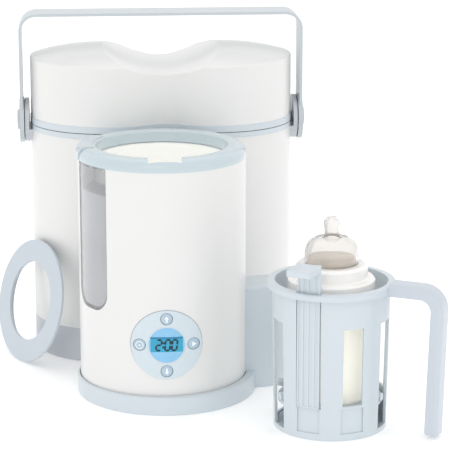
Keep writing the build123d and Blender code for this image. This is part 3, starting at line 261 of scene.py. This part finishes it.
def plastic(name, color, roughness, coat=0.0, grain=0.04, subsurface=0.0, glow=0.0):
    """Moulded plastic: faint tone drift, uneven gloss and a fine mould grain; glow adds painted light, an
    emission in its own tone.
    """
    nodes = Nodes(name)
    tone = nodes.ramp(nodes.noise(scale=14.0), shade(color, 0.993), shade(color, 1.004))
    nodes.drive(tone, "Base Color")
    gloss = nodes.noise(scale=45.0, detail=4.0)
    nodes.drive(nodes.spread(gloss, roughness * 0.95, roughness * 1.08), "Roughness")
    nodes.bump(nodes.noise(scale=1600.0, detail=3.0), strength=grain, distance=0.2 * MM)
    nodes.set(IOR=1.49, Coat_Weight=coat, Coat_Roughness=0.12)
    nodes.set(Subsurface_Weight=subsurface, Subsurface_Scale=4 * MM)
    # Painted light: the emission makes the plastic look more brightly lit than the lamps make it
    if glow:
        nodes.drive(tone, "Emission Color")
        nodes.set(Emission_Strength=glow)
    return nodes.material


def clear_plastic(name, color, roughness, transmission):
    """See-through plastic or silicone."""
    nodes = Nodes(name)
    nodes.drive(nodes.ramp(nodes.noise(scale=20.0), shade(color, 0.96), color), "Base Color")
    gloss = nodes.noise(scale=60.0)
    nodes.drive(nodes.spread(gloss, roughness * 0.8, roughness * 1.3), "Roughness")
    nodes.bump(nodes.noise(scale=300.0), strength=0.02, distance=0.2 * MM)
    nodes.set(IOR=1.45, Transmission_Weight=transmission)
    return nodes.material


def rubber(name, color, subsurface=0.0):
    """Dull rubber with a coarse grain."""
    nodes = Nodes(name)
    nodes.drive(nodes.ramp(nodes.noise(scale=60.0), shade(color, 0.9), color), "Base Color")
    nodes.drive(nodes.spread(nodes.noise(scale=200.0), 0.45, 0.6), "Roughness")
    nodes.bump(nodes.noise(scale=900.0, detail=4.0), strength=0.12, distance=0.3 * MM)
    nodes.set(Subsurface_Weight=subsurface, Subsurface_Scale=4 * MM, Sheen_Weight=0.1)
    return nodes.material


def metal(name, color, roughness, stretch=(1, 1, 1)):
    """Turned or drawn metal, with fine lines along its working direction."""
    nodes = Nodes(name)
    lines = nodes.noise(scale=300.0, detail=4.0, stretch=stretch)
    nodes.drive(nodes.ramp(lines, shade(color, 0.85), color), "Base Color")
    nodes.drive(nodes.spread(lines, roughness * 0.7, roughness * 1.4), "Roughness")
    nodes.bump(lines, strength=0.15, distance=0.2 * MM)
    nodes.set(Metallic=1.0)
    return nodes.material


def lit_plastic(name, color, glow, strength):
    """Display part with an even light of its own."""
    nodes = Nodes(name)
    nodes.drive(nodes.ramp(nodes.noise(scale=120.0), shade(color, 0.94), color), "Base Color")
    nodes.bump(nodes.noise(scale=900.0), strength=0.02, distance=0.2 * MM)
    nodes.set(Roughness=0.2, Coat_Weight=0.4)
    nodes.set(Emission_Color=(*glow, 1), Emission_Strength=strength)
    return nodes.material


def foam(name, color):
    """Insulation foam with open cells."""
    nodes = Nodes(name)
    texture = nodes.add("ShaderNodeTexVoronoi")
    texture.inputs["Scale"].default_value = 900.0
    nodes.link(nodes.place, texture.inputs["Vector"])
    cells = texture.outputs["Distance"]
    tone = nodes.ramp(cells, shade(color, 0.85), color, low_at=0.0, high_at=0.6)
    nodes.drive(tone, "Base Color")
    nodes.bump(cells, strength=0.4, distance=0.5 * MM)
    nodes.set(Roughness=0.85)
    return nodes.material


MATERIALS = {}


def add_material(recipe, name, color, **settings):
    """Make a material by its recipe and keep it under its name."""
    MATERIALS[name] = recipe(name, color, **settings)


def make_plastics():
    """Plastics of the record's slots."""
    add_material(plastic, "white_plastic", (0.80, 0.80, 0.79), roughness=0.3, coat=0.2, grain=0.02)
    add_material(plastic, "pale_blue_plastic", (0.62, 0.685, 0.73), roughness=0.33, coat=0.2)
    add_material(plastic, "glossy_blue_plastic", (0.55, 0.645, 0.69), roughness=0.15, coat=0.6, grain=0.02)
    add_material(plastic, "blue_grey_plastic", (0.55, 0.58, 0.62), roughness=0.32, coat=0.2)
    add_material(plastic, "bail_plastic", (0.55, 0.60, 0.63), roughness=0.34, coat=0.15)
    add_material(plastic, "handle_plastic", (0.57, 0.62, 0.68), roughness=0.34, coat=0.2)
    add_material(plastic, "adapter_plastic", (0.55, 0.61, 0.67), roughness=0.34, coat=0.2)
    add_material(plastic, "ring_plastic", (0.96, 0.94, 0.92),
                 roughness=0.25, coat=0.3, grain=0.03, subsurface=0.15)
    # Painted light: the cream and milk plastics glow a little so that they look brightly lit
    add_material(plastic, "cream_plastic", (0.93, 0.93, 0.90), roughness=0.4, coat=0.1, glow=0.12)
    add_material(plastic, "milk_plastic", (0.95, 0.94, 0.84),
                 roughness=0.3, coat=0.2, grain=0.02, subsurface=0.3, glow=0.22)
    add_material(plastic, "grey_plastic", (0.15, 0.16, 0.18), roughness=0.5, grain=0.15)
    add_material(plastic, "control_disc_plastic", (0.63, 0.72, 0.77), roughness=0.28, coat=0.3)
    add_material(plastic, "button_plastic", (0.44, 0.57, 0.68), roughness=0.2, coat=0.5, grain=0.02)
    add_material(plastic, "circuit_board", (0.02, 0.14, 0.07), roughness=0.35, coat=0.4, grain=0.2)


def make_other_materials():
    """Display, clear, soft and metal materials of the record's slots."""
    add_material(lit_plastic, "display_window", (0.25, 0.54, 0.80), glow=(0.3, 0.62, 0.9), strength=0.05)
    add_material(lit_plastic, "lcd_glass", (0.01, 0.32, 0.50), glow=(0.01, 0.40, 0.60), strength=0.12)
    add_material(clear_plastic, "smoke_plastic", (0.95, 0.955, 0.97), roughness=0.06, transmission=0.8)
    add_material(rubber, "silicone_seal", (0.68, 0.69, 0.70), subsurface=0.2)
    add_material(clear_plastic, "teat_silicone", (0.99, 0.975, 0.96), roughness=0.05, transmission=0.9)
    add_material(rubber, "rubber_pad", (0.05, 0.05, 0.055))
    add_material(metal, "steel_screw", (0.6, 0.6, 0.6), roughness=0.3)
    add_material(metal, "element_steel", (0.5, 0.5, 0.5), roughness=0.35, stretch=(1, 1, 8))
    add_material(metal, "heater_aluminium", (0.75, 0.76, 0.77), roughness=0.3, stretch=(1, 1, 12))
    add_material(foam, "insulation_foam", (0.86, 0.85, 0.80))


def make_piece_materials():
    """Materials of pieces that the record has no slot of their own for."""
    add_material(plastic, "mark_white", (0.93, 0.95, 0.97), roughness=0.4, grain=0.02)
    add_material(plastic, "segment_black", (0.004, 0.03, 0.05), roughness=0.4, grain=0.02)
    # Painted shade for the band along the display window's upper edge
    add_material(plastic, "segment_shade", (0.01, 0.22, 0.42), roughness=0.4, grain=0.02)
    add_material(plastic, "filler_plastic", (0.52, 0.60, 0.65), roughness=0.16, coat=0.6, grain=0.02)
    add_material(plastic, "water", (0.66, 0.68, 0.72), roughness=0.12, coat=0.3, grain=0.02)
    # Painted shade: a dark sheet that stands in for the dark look of the water's surface
    add_material(plastic, "water_skin", (0.30, 0.32, 0.37), roughness=0.2, coat=0.3, grain=0.02)
    # Painted light: the milk glows a little so that it looks brightly lit
    add_material(plastic, "milk", (0.80, 0.72, 0.62),
                 roughness=0.25, coat=0.1, grain=0.02, subsurface=0.2, glow=0.1)


def paint_nodes():
    """Give each CAD node the material of its slot in the record."""
    slot_of = {part["node"]: part["material_slot"] for part in frame["record"]["subparts"]}
    for node, obj in NODES.items():
        material = MATERIALS[slot_of[node]]
        if not obj.material_slots:
            obj.data.materials.append(material)
        for place in obj.material_slots:
            place.material = material


# ---------------------------------------------------------------- mesh helpers

def piece(name, bm, body, slot, look=None):
    """Turn a bmesh into a piece that rides on a body; look is a material other than its slot's."""
    bmesh.ops.recalc_face_normals(bm, faces=bm.faces)
    mesh = bpy.data.meshes.new(name)
    bm.to_mesh(mesh)
    bm.free()
    mesh.materials.append(MATERIALS[look or slot])
    obj = bpy.data.objects.new(name, mesh)
    bpy.context.scene.collection.objects.link(obj)
    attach(obj, body)
    return obj


def smooth(obj):
    """Shade every face smoothly."""
    for face in obj.data.polygons:
        face.use_smooth = True


def round_edges(obj, width):
    """Small bevel along the sharp edges."""
    modifier = obj.modifiers.new("edges", "BEVEL")
    modifier.width = width
    modifier.segments = EDGE_SEGMENTS
    modifier.limit_method = "ANGLE"
    smooth(obj)


def quarter_turn(steps):
    """Angles from 0 to a right angle, both included."""
    return [math.pi / 2 * i / steps for i in range(steps + 1)]


def join_rings(bm, rings):
    """Faces between neighbouring rings of vertices."""
    for ring, after in zip(rings, rings[1:]):
        for i in range(len(ring)):
            j = (i + 1) % len(ring)
            bm.faces.new((ring[i], ring[j], after[j], after[i]))


def add_rings(bm, rings):
    """Vertices for rings of points."""
    return [[bm.verts.new(point) for point in ring] for ring in rings]


def add_sweep(bm, rings):
    """Closed solid through a row of rings with equal numbers of points."""
    rings = add_rings(bm, rings)
    join_rings(bm, rings)
    bm.faces.new(rings[0])
    bm.faces.new(rings[-1][::-1])


def add_prism(bm, front, back):
    """Closed solid between two outlines with equal numbers of points."""
    front, back = add_rings(bm, (front, back))
    bm.faces.new(front)
    bm.faces.new(back[::-1])
    join_rings(bm, (front, back))


def add_turned(bm, profile, place):
    """Closed solid turned from (r, h) points; place maps (x, y, h) to the frame."""
    turns = [2 * math.pi * i / TURN_STEPS for i in range(TURN_STEPS)]
    rows = []
    for r, h in profile:
        spots = [(r * math.cos(a), r * math.sin(a)) for a in turns] if r else [(0, 0)]
        rows.append([bm.verts.new(place(x, y, h)) for x, y in spots])
    for row, after in zip(rows, rows[1:]):
        for i in range(TURN_STEPS):
            j = (i + 1) % TURN_STEPS
            if len(row) == 1:
                bm.faces.new((row[0], after[i], after[j]))
            elif len(after) == 1:
                bm.faces.new((row[i], row[j], after[0]))
            else:
                bm.faces.new((row[i], row[j], after[j], after[i]))


def upright_at(centre):
    """Place for a turned solid that stands upright on a point."""
    return lambda x, y, h: centre + Vector((x, y, h))


def at_azimuth(azimuth_deg, reach, z):
    """Point about the warmer's axis; azimuth 0 faces the front, positive to the right."""
    a = math.radians(azimuth_deg)
    return Vector((reach * math.sin(a), -reach * math.cos(a), z))


# ---------------------------------------------------------------- display

def wrapped(u, v, radius, z):
    """Point on an upright cylinder about the warmer's axis, from a flat drawing."""
    angle = u / radius
    return Vector((radius * math.sin(angle), -radius * math.cos(angle), z + v))


def add_wrapped_band(bm, low, high, radius):
    """Thin solid over the display's width between two heights."""
    step = LCD_WIDTH / LCD_COLUMNS
    inner = radius - MARK_SINK
    corners = [(low, radius), (high, radius), (high, inner), (low, inner)]
    columns = [-LCD_WIDTH / 2 + i * step for i in range(LCD_COLUMNS + 1)]
    add_sweep(bm, [[wrapped(u, v, r, DISPLAY_Z) for v, r in corners] for u in columns])


def add_wrapped_outline(bm, points, radius):
    """Thin solid on the display's curved face from a small outline of (u, v) points."""
    z = DISPLAY_Z + DIGIT_RISE
    front = [wrapped(u, v, radius, z) for u, v in points]
    back = [wrapped(u, v, radius - MARK_SINK, z) for u, v in points]
    add_prism(bm, front, back)


def add_segment(bm, start, end, radius):
    """One display segment: a slim bar with pointed ends."""
    a, b = Vector(start), Vector(end)
    along = (b - a).normalized()
    across = Vector((-along.y, along.x)) * SEGMENT_WIDTH / 2
    tip = along * SEGMENT_WIDTH / 2
    outline = [a, a + tip + across, b - tip + across, b, b - tip - across, a + tip - across]
    add_wrapped_outline(bm, [(p.x + SLANT * p.y, p.y) for p in outline], radius)


def add_digit(bm, segments, centre, radius):
    """Seven-segment digit; segments are named a to g as on any clock display."""
    w, h, gap = DIGIT_WIDTH / 2, DIGIT_HEIGHT / 2, SEGMENT_GAP
    left, right = centre - w, centre + w
    bars = {
        "a": ((left + gap, h), (right - gap, h)),
        "b": ((right, gap), (right, h - gap)),
        "c": ((right, gap - h), (right, -gap)),
        "d": ((left + gap, -h), (right - gap, -h)),
        "e": ((left, gap - h), (left, -gap)),
        "f": ((left, gap), (left, h - gap)),
        "g": ((left + gap, 0), (right - gap, 0)),
    }
    for name in segments:
        add_segment(bm, *bars[name], radius)


def add_colon(bm, radius):
    """Two square dots, set along the digits' slant."""
    for v in (-COLON_RISE, COLON_RISE):
        c, r = COLON_PLACE + SLANT * v, COLON_SIZE
        corners = [(c - r, v - r), (c + r, v - r), (c + r, v + r), (c - r, v + r)]
        add_wrapped_outline(bm, corners, radius)


def make_display():
    """Lit window, the painted shade along its upper edge and the digits 2:00."""
    glass = LENS_FACE + MARK_LIFT
    print_face = glass + MARK_LIFT
    low, high = LCD_RISE - LCD_HEIGHT / 2, LCD_RISE + LCD_HEIGHT / 2
    bm = bmesh.new()
    add_wrapped_band(bm, low, high, glass)
    piece("display_glow", bm, "warmer", "lcd_glass")
    # Painted shade: a darker copy of the window's colour along its upper edge
    bm = bmesh.new()
    add_wrapped_band(bm, high - SHADE_HEIGHT, high, print_face)
    piece("display_shade", bm, "warmer", "lcd_glass", "segment_shade")
    bm = bmesh.new()
    for segments, centre in DIGIT_PLACES:
        add_digit(bm, segments, centre, print_face)
    add_colon(bm, print_face)
    piece("display_digits", bm, "warmer", "lcd_glass", "segment_black")


def make_bezel():
    """Slim crowned ring about the display, wrapped on the display's curved face."""
    inner, outer = LENS_RADIUS, LENS_RADIUS + BEZEL_WIDTH
    foot = LENS_FACE - MARK_SINK
    profile = [(inner, foot), (inner, LENS_FACE), ((inner + outer) / 2, LENS_FACE + BEZEL_RISE),
               (outer, LENS_FACE), (outer, foot)]
    rings = []
    for i in range(BEZEL_STEPS):
        a = 2 * math.pi * i / BEZEL_STEPS
        rings.append([wrapped(r * math.cos(a), r * math.sin(a), depth, DISPLAY_Z)
                      for r, depth in profile])
    bm = bmesh.new()
    rings = add_rings(bm, rings)
    join_rings(bm, rings + rings[:1])
    smooth(piece("display_bezel", bm, "warmer", "control_disc_plastic"))


# ---------------------------------------------------------------- keys

def cap_fall(r):
    """How far a key's crowned face falls back at a distance from its middle."""
    return CAP_CROWN * (r / CAP_RADIUS) ** 2


def cap_profile():
    """Half section of a key cap as (radius, depth) points, from its middle to its back."""
    edge = CAP_RADIUS - CAP_EDGE
    rim = cap_fall(edge)
    steps = [r * CAP_RADIUS / CAP_RINGS for r in range(1, CAP_RINGS - 1)]
    crown = [(0, 0.0)] + [(r, cap_fall(r)) for r in steps] + [(edge, rim)]
    turn = CAP_EDGE * CAP_EDGE_SHARE
    return crown + [(CAP_RADIUS - turn, rim + turn), (CAP_RADIUS, rim + CAP_EDGE),
                    (CAP_RADIUS, CAP_DEPTH), (0, CAP_DEPTH)]


def add_mark(bm, outline, place):
    """Thin printed shape that follows the crowned cap."""
    def layer(lift):
        return [place(u, v, cap_fall(math.hypot(u, v)) - lift) for u, v in outline]

    add_prism(bm, layer(ICON_LIFT), layer(-MARK_SINK))


def make_key(node, body, marks):
    """Crowned cap in place of the plain button, with its printed mark."""
    low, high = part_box(node)
    x, z = (low.x + high.x) / 2, (low.z + high.z) / 2

    def place(u, v, h):
        """Point behind the keys' common face, which is round about the warmer's axis."""
        return Vector((x + u, h - math.sqrt(KEY_FACE ** 2 - (x + u) ** 2), z + v))

    bm = bmesh.new()
    add_turned(bm, cap_profile(), place)
    cap = piece(node + "_cap", bm, body, "button_plastic")
    smooth(cap)
    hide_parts(node)
    bm = bmesh.new()
    for outline in marks:
        add_mark(bm, outline, place)
    piece(node + "_mark", bm, body, "button_plastic", "mark_white")


def arrow(direction):
    """Arrow head and stem, up for 1 and down for -1."""
    head = [(-ARROW_WIDTH, ARROW_NECK), (ARROW_WIDTH, ARROW_NECK), (0, ARROW_LENGTH)]
    stem = [(-STEM_WIDTH, -ARROW_LENGTH), (STEM_WIDTH, -ARROW_LENGTH),
            (STEM_WIDTH, STEM_TOP), (-STEM_WIDTH, STEM_TOP)]
    return [[(u * ICON, v * ICON * direction) for u, v in shape] for shape in (head, stem)]


def clock_mark():
    """Thin ring of short bars and a dot in its middle."""
    shapes = []
    for i in range(CLOCK_BARS):
        a, b = (2 * math.pi * (i + k) / CLOCK_BARS for k in (0, 1))
        corners = [(CLOCK_INNER, a), (CLOCK_OUTER, a), (CLOCK_OUTER, b), (CLOCK_INNER, b)]
        shapes.append([(r * ICON * math.cos(t), r * ICON * math.sin(t)) for r, t in corners])
    turns = [2 * math.pi * i / DOT_CORNERS for i in range(DOT_CORNERS)]
    radius = DOT_RADIUS * ICON
    return shapes + [[(radius * math.cos(t), radius * math.sin(t)) for t in turns]]


def play_mark():
    """Triangle that points right."""
    corners = [(-PLAY_BACK, -PLAY_WIDTH), (PLAY_TIP, 0), (-PLAY_BACK, PLAY_WIDTH)]
    return [[(u * ICON, v * ICON) for u, v in corners]]


def make_keys():
    make_key("button_up", "key_up", arrow(1))
    make_key("button_down", "key_down", arrow(-1))
    make_key("button_clock", "key_clock", clock_mark())
    make_key("button_start", "key_start", play_mark())


# ---------------------------------------------------------------- filler lid

def filler_profile():
    """Section of the lid: a thin sheet over the collar, with a flap down its side."""
    top, bottom = FILLER_TOP, COLLAR_TOP - FILLER_DROP
    shoulder = FILLER_SHOULDER
    middle = FILLER_FLAP - shoulder
    outer = [(middle + shoulder * math.sin(a), top - shoulder * (1 - math.cos(a)))
             for a in quarter_turn(FILLER_ARC_STEPS)]
    inner = [(r - FILLER_WALL, z - FILLER_WALL) for r, z in outer]
    edge = [(FILLER_INNER, top - FILLER_WALL), (FILLER_INNER, top)]
    foot = [(FILLER_FLAP, bottom), (FILLER_FLAP - FILLER_WALL, bottom)]
    return edge + outer + foot + inner[::-1]


def make_dimple():
    """Shallow dish with a low rim on the lid's top."""
    centre = at_azimuth(DIMPLE_AZIMUTH_DEG, DIMPLE_REACH, FILLER_TOP)
    radius = DIMPLE_RADIUS
    profile = [
        (0, -DIMPLE_DEPTH), (radius * DIMPLE_FLANK_SHARE, -DIMPLE_FLANK), (radius, DIMPLE_LIP),
        (radius * DIMPLE_RIM_SHARE, DIMPLE_RIM), (radius * DIMPLE_FOOT_SHARE, -DIMPLE_FOOT),
        (0, -DIMPLE_FOOT),
    ]
    bm = bmesh.new()
    add_turned(bm, profile, upright_at(centre))
    smooth(piece("filler_dimple", bm, "warmer", "glossy_blue_plastic", "blue_grey_plastic"))


def make_filler_lid():
    """Raised lid of the tank's filler, with its finger dimple."""
    span = FILLER_END_DEG - FILLER_START_DEG
    turns = [FILLER_START_DEG + span * i / FILLER_STEPS for i in range(FILLER_STEPS + 1)]
    profile = filler_profile()
    bm = bmesh.new()
    add_sweep(bm, [[at_azimuth(turn, r, z) for r, z in profile] for turn in turns])
    lid = piece("filler_lid", bm, "warmer", "glossy_blue_plastic", "filler_plastic")
    round_edges(lid, FILLER_EDGE)
    make_dimple()


# ---------------------------------------------------------------- water

def tank_point(u, reach, z):
    """Point in the tank, from its offset across the window and its distance from the axis."""
    a = math.radians(TANK_AZIMUTH_DEG)
    out = Vector((math.sin(a), -math.cos(a), 0))
    side = Vector((math.cos(a), math.sin(a), 0))
    return out * math.sqrt(reach ** 2 - u ** 2) + side * u + Vector((0, 0, z))


def water_section(u):
    """Corners of the water at an offset, its foot raised by the tank's round corners."""
    past = max(0.0, abs(u) - (TANK_HALF_WIDTH - TANK_CORNER))
    low = TANK_BOTTOM + TANK_CORNER - math.sqrt(max(0.0, TANK_CORNER ** 2 - past ** 2))
    return [(TANK_INNER, low), (TANK_OUTER, low), (TANK_OUTER, WATER_LEVEL), (TANK_INNER, WATER_LEVEL)]


def shade_sheet_section():
    """Corners of the painted shade sheet at the water's surface, the same at every offset."""
    low = WATER_LEVEL + WATER_SHADE_INSET
    high = low + WATER_SHADE_SHEET
    inner, outer = TANK_INNER + WATER_SHADE_INSET, TANK_OUTER - WATER_SHADE_INSET
    return [(inner, low), (outer, low), (outer, high), (inner, high + WATER_TILT)]


def tank_offsets(half_width):
    """Even steps across the tank."""
    return [half_width * (2 * i / WATER_COLUMNS - 1) for i in range(WATER_COLUMNS + 1)]


def make_tank_fill(name, sections, look):
    """Piece across the tank from its offsets and the corners at each."""
    bm = bmesh.new()
    add_sweep(bm, [[tank_point(u, r, z) for r, z in corners] for u, corners in sections])
    piece(name, bm, "tank", "smoke_plastic", look)


def make_water():
    """Water that fills the tank to its level, and a painted shade sheet at its surface."""
    water = [(u, water_section(u)) for u in tank_offsets(TANK_HALF_WIDTH)]
    # Painted shade: a dark sheet on the water's surface
    shade_sheet = [(u, shade_sheet_section()) for u in tank_offsets(TANK_HALF_WIDTH - WATER_SHADE_INSET)]
    make_tank_fill("tank_water", water, "water")
    make_tank_fill("tank_water_shade_sheet", shade_sheet, "water_skin")


# ---------------------------------------------------------------- teat

def softened(points, rounds):
    """Outline with its corners cut again and again, its two ends kept."""
    far, near = CORNER_CUT, 1 - CORNER_CUT
    for _ in range(rounds):
        cut = [points[0]]
        for (r0, z0), (r1, z1) in zip(points, points[1:]):
            cut.append((near * r0 + far * r1, near * z0 + far * z1))
            cut.append((far * r0 + near * r1, far * z0 + near * z1))
        points = cut + [points[-1]]
    return points


def teat_outline(inset, top, low):
    """Bell, neck and bulb in one smooth line, moved in by the wall."""
    base = TEAT_BASE_RADIUS - inset
    bell = TEAT_BELL_RADIUS - inset
    neck = TEAT_NECK_RADIUS - inset
    tip = TEAT_TIP_RADIUS - inset
    neck_z = TEAT_NECK_Z - inset
    tip_z = top - TEAT_TIP_RADIUS
    rise = neck_z - TEAT_BELL_Z
    turns = quarter_turn(TEAT_ARC_STEPS)[:-1]
    line = [(base, low), (base, (low + TEAT_BELL_Z) / 2)]
    for a in turns:
        out = neck + (bell - neck) * math.cos(a) ** TEAT_FULLNESS
        line.append((out, TEAT_BELL_Z + rise * math.sin(a) ** TEAT_FULLNESS))
    line += [(neck + TEAT_FLARE, neck_z), (neck, neck_z + TEAT_FLARE_RISE)]
    line += [(tip * math.cos(a), tip_z + tip * math.sin(a)) for a in turns]
    return softened(line + [(0, tip_z + tip)], SOFT_ROUNDS)


def liquid_profile(low):
    """Half section of the liquid in the bell."""
    radius = TEAT_BASE_RADIUS - TEAT_WALL - TEAT_MILK_GAP
    foot = low + TEAT_MILK_FOOT
    corner = TEAT_MILK_CORNER
    return [(0, foot), (radius, foot), (radius, TEAT_MILK_Z - corner), (radius - corner, TEAT_MILK_Z),
            (0, TEAT_MILK_Z)]


def make_teat():
    """Smooth silicone teat in place of the plain one, and the liquid that shows in its bell."""
    low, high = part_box("teat")
    place = upright_at(Vector(((low.x + high.x) / 2, (low.y + high.y) / 2, 0)))
    flange = (high.x - low.x) / 2
    flange_top = low.z + TEAT_FLANGE
    outer = teat_outline(0, high.z, flange_top)
    inner = teat_outline(TEAT_WALL, high.z, low.z)
    bm = bmesh.new()
    add_turned(bm, inner[::-1] + [(flange, low.z), (flange, flange_top)] + outer, place)
    bmesh.ops.remove_doubles(bm, verts=bm.verts, dist=MERGE_DISTANCE)
    teat = piece("teat_skin", bm, "bottle_teat", "teat_silicone")
    smooth(teat)
    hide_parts("teat")
    bm = bmesh.new()
    add_turned(bm, liquid_profile(low.z), place)
    smooth(piece("teat_milk", bm, "bottle_teat", "milk_plastic", "milk"))


# ---------------------------------------------------------------- stage

def make_camera():
    data = bpy.data.cameras.new("camera")
    data.lens = CAMERA_LENS
    data.sensor_width = CAMERA_SENSOR
    data.clip_end = CAMERA_FAR
    camera = bpy.data.objects.new("camera", data)
    camera.location = CAMERA_PLACE
    camera.rotation_euler = (math.radians(CAMERA_PITCH_DEG), 0, math.radians(CAMERA_YAW_DEG))
    bpy.context.scene.collection.objects.link(camera)
    bpy.context.scene.camera = camera


def add_area_light(name, place, target, size, power, color=(1, 1, 1)):
    data = bpy.data.lights.new(name, "AREA")
    data.shape = "SQUARE"
    data.size = size
    data.energy = power
    data.color = color
    light = bpy.data.objects.new(name, data)
    light.location = place
    direction = Vector(target) - Vector(place)
    light.rotation_euler = direction.to_track_quat("-Z", "Y").to_euler()
    bpy.context.scene.collection.objects.link(light)


def make_studio():
    """Three weak area lights in an even white surround."""
    add_area_light("key", place=(-0.4, -1.4, 1.4), target=(0, 0.05, 0.08), size=0.9, power=1.7)
    add_area_light("fill", place=(1.3, -1.0, 0.7), target=(0, 0.05, 0.1), size=1.2, power=0.5,
                   color=(0.95, 0.98, 1.0))
    add_area_light("top", place=(0.0, 0.5, 1.5), target=(0, 0.05, 0), size=1.2, power=1.6)
    world = bpy.data.worlds.new("studio")
    world.use_nodes = True
    background = world.node_tree.nodes["Background"]
    background.inputs["Color"].default_value = (1, 1, 1, 1)
    background.inputs["Strength"].default_value = 1.0
    bpy.context.scene.world = world
    bpy.context.scene.view_settings.view_transform = "Standard"


def make_floor():
    """Plain pale floor just below the standing surface."""
    nodes = Nodes("floor")
    tone = nodes.ramp(nodes.noise(scale=3.0), (0.93, 0.93, 0.93), (0.95, 0.95, 0.95))
    nodes.drive(tone, "Base Color")
    nodes.set(Roughness=0.6, Emission_Color=(1, 1, 1, 1), Emission_Strength=FLOOR_GLOW)
    mesh = bpy.data.meshes.new("floor")
    signs = ((-1, -1), (1, -1), (1, 1), (-1, 1))
    corners = [(x * FLOOR_REACH, y * FLOOR_REACH, -FLOOR_DROP) for x, y in signs]
    mesh.from_pydata(corners, [], [(0, 1, 2, 3)])
    mesh.materials.append(nodes.material)
    floor = bpy.data.objects.new("floor", mesh)
    bpy.context.scene.collection.objects.link(floor)


make_plastics()
make_other_materials()
make_piece_materials()
paint_nodes()
make_display()
make_bezel()
make_keys()
make_filler_lid()
make_water()
make_teat()
make_camera()
make_studio()
make_floor()
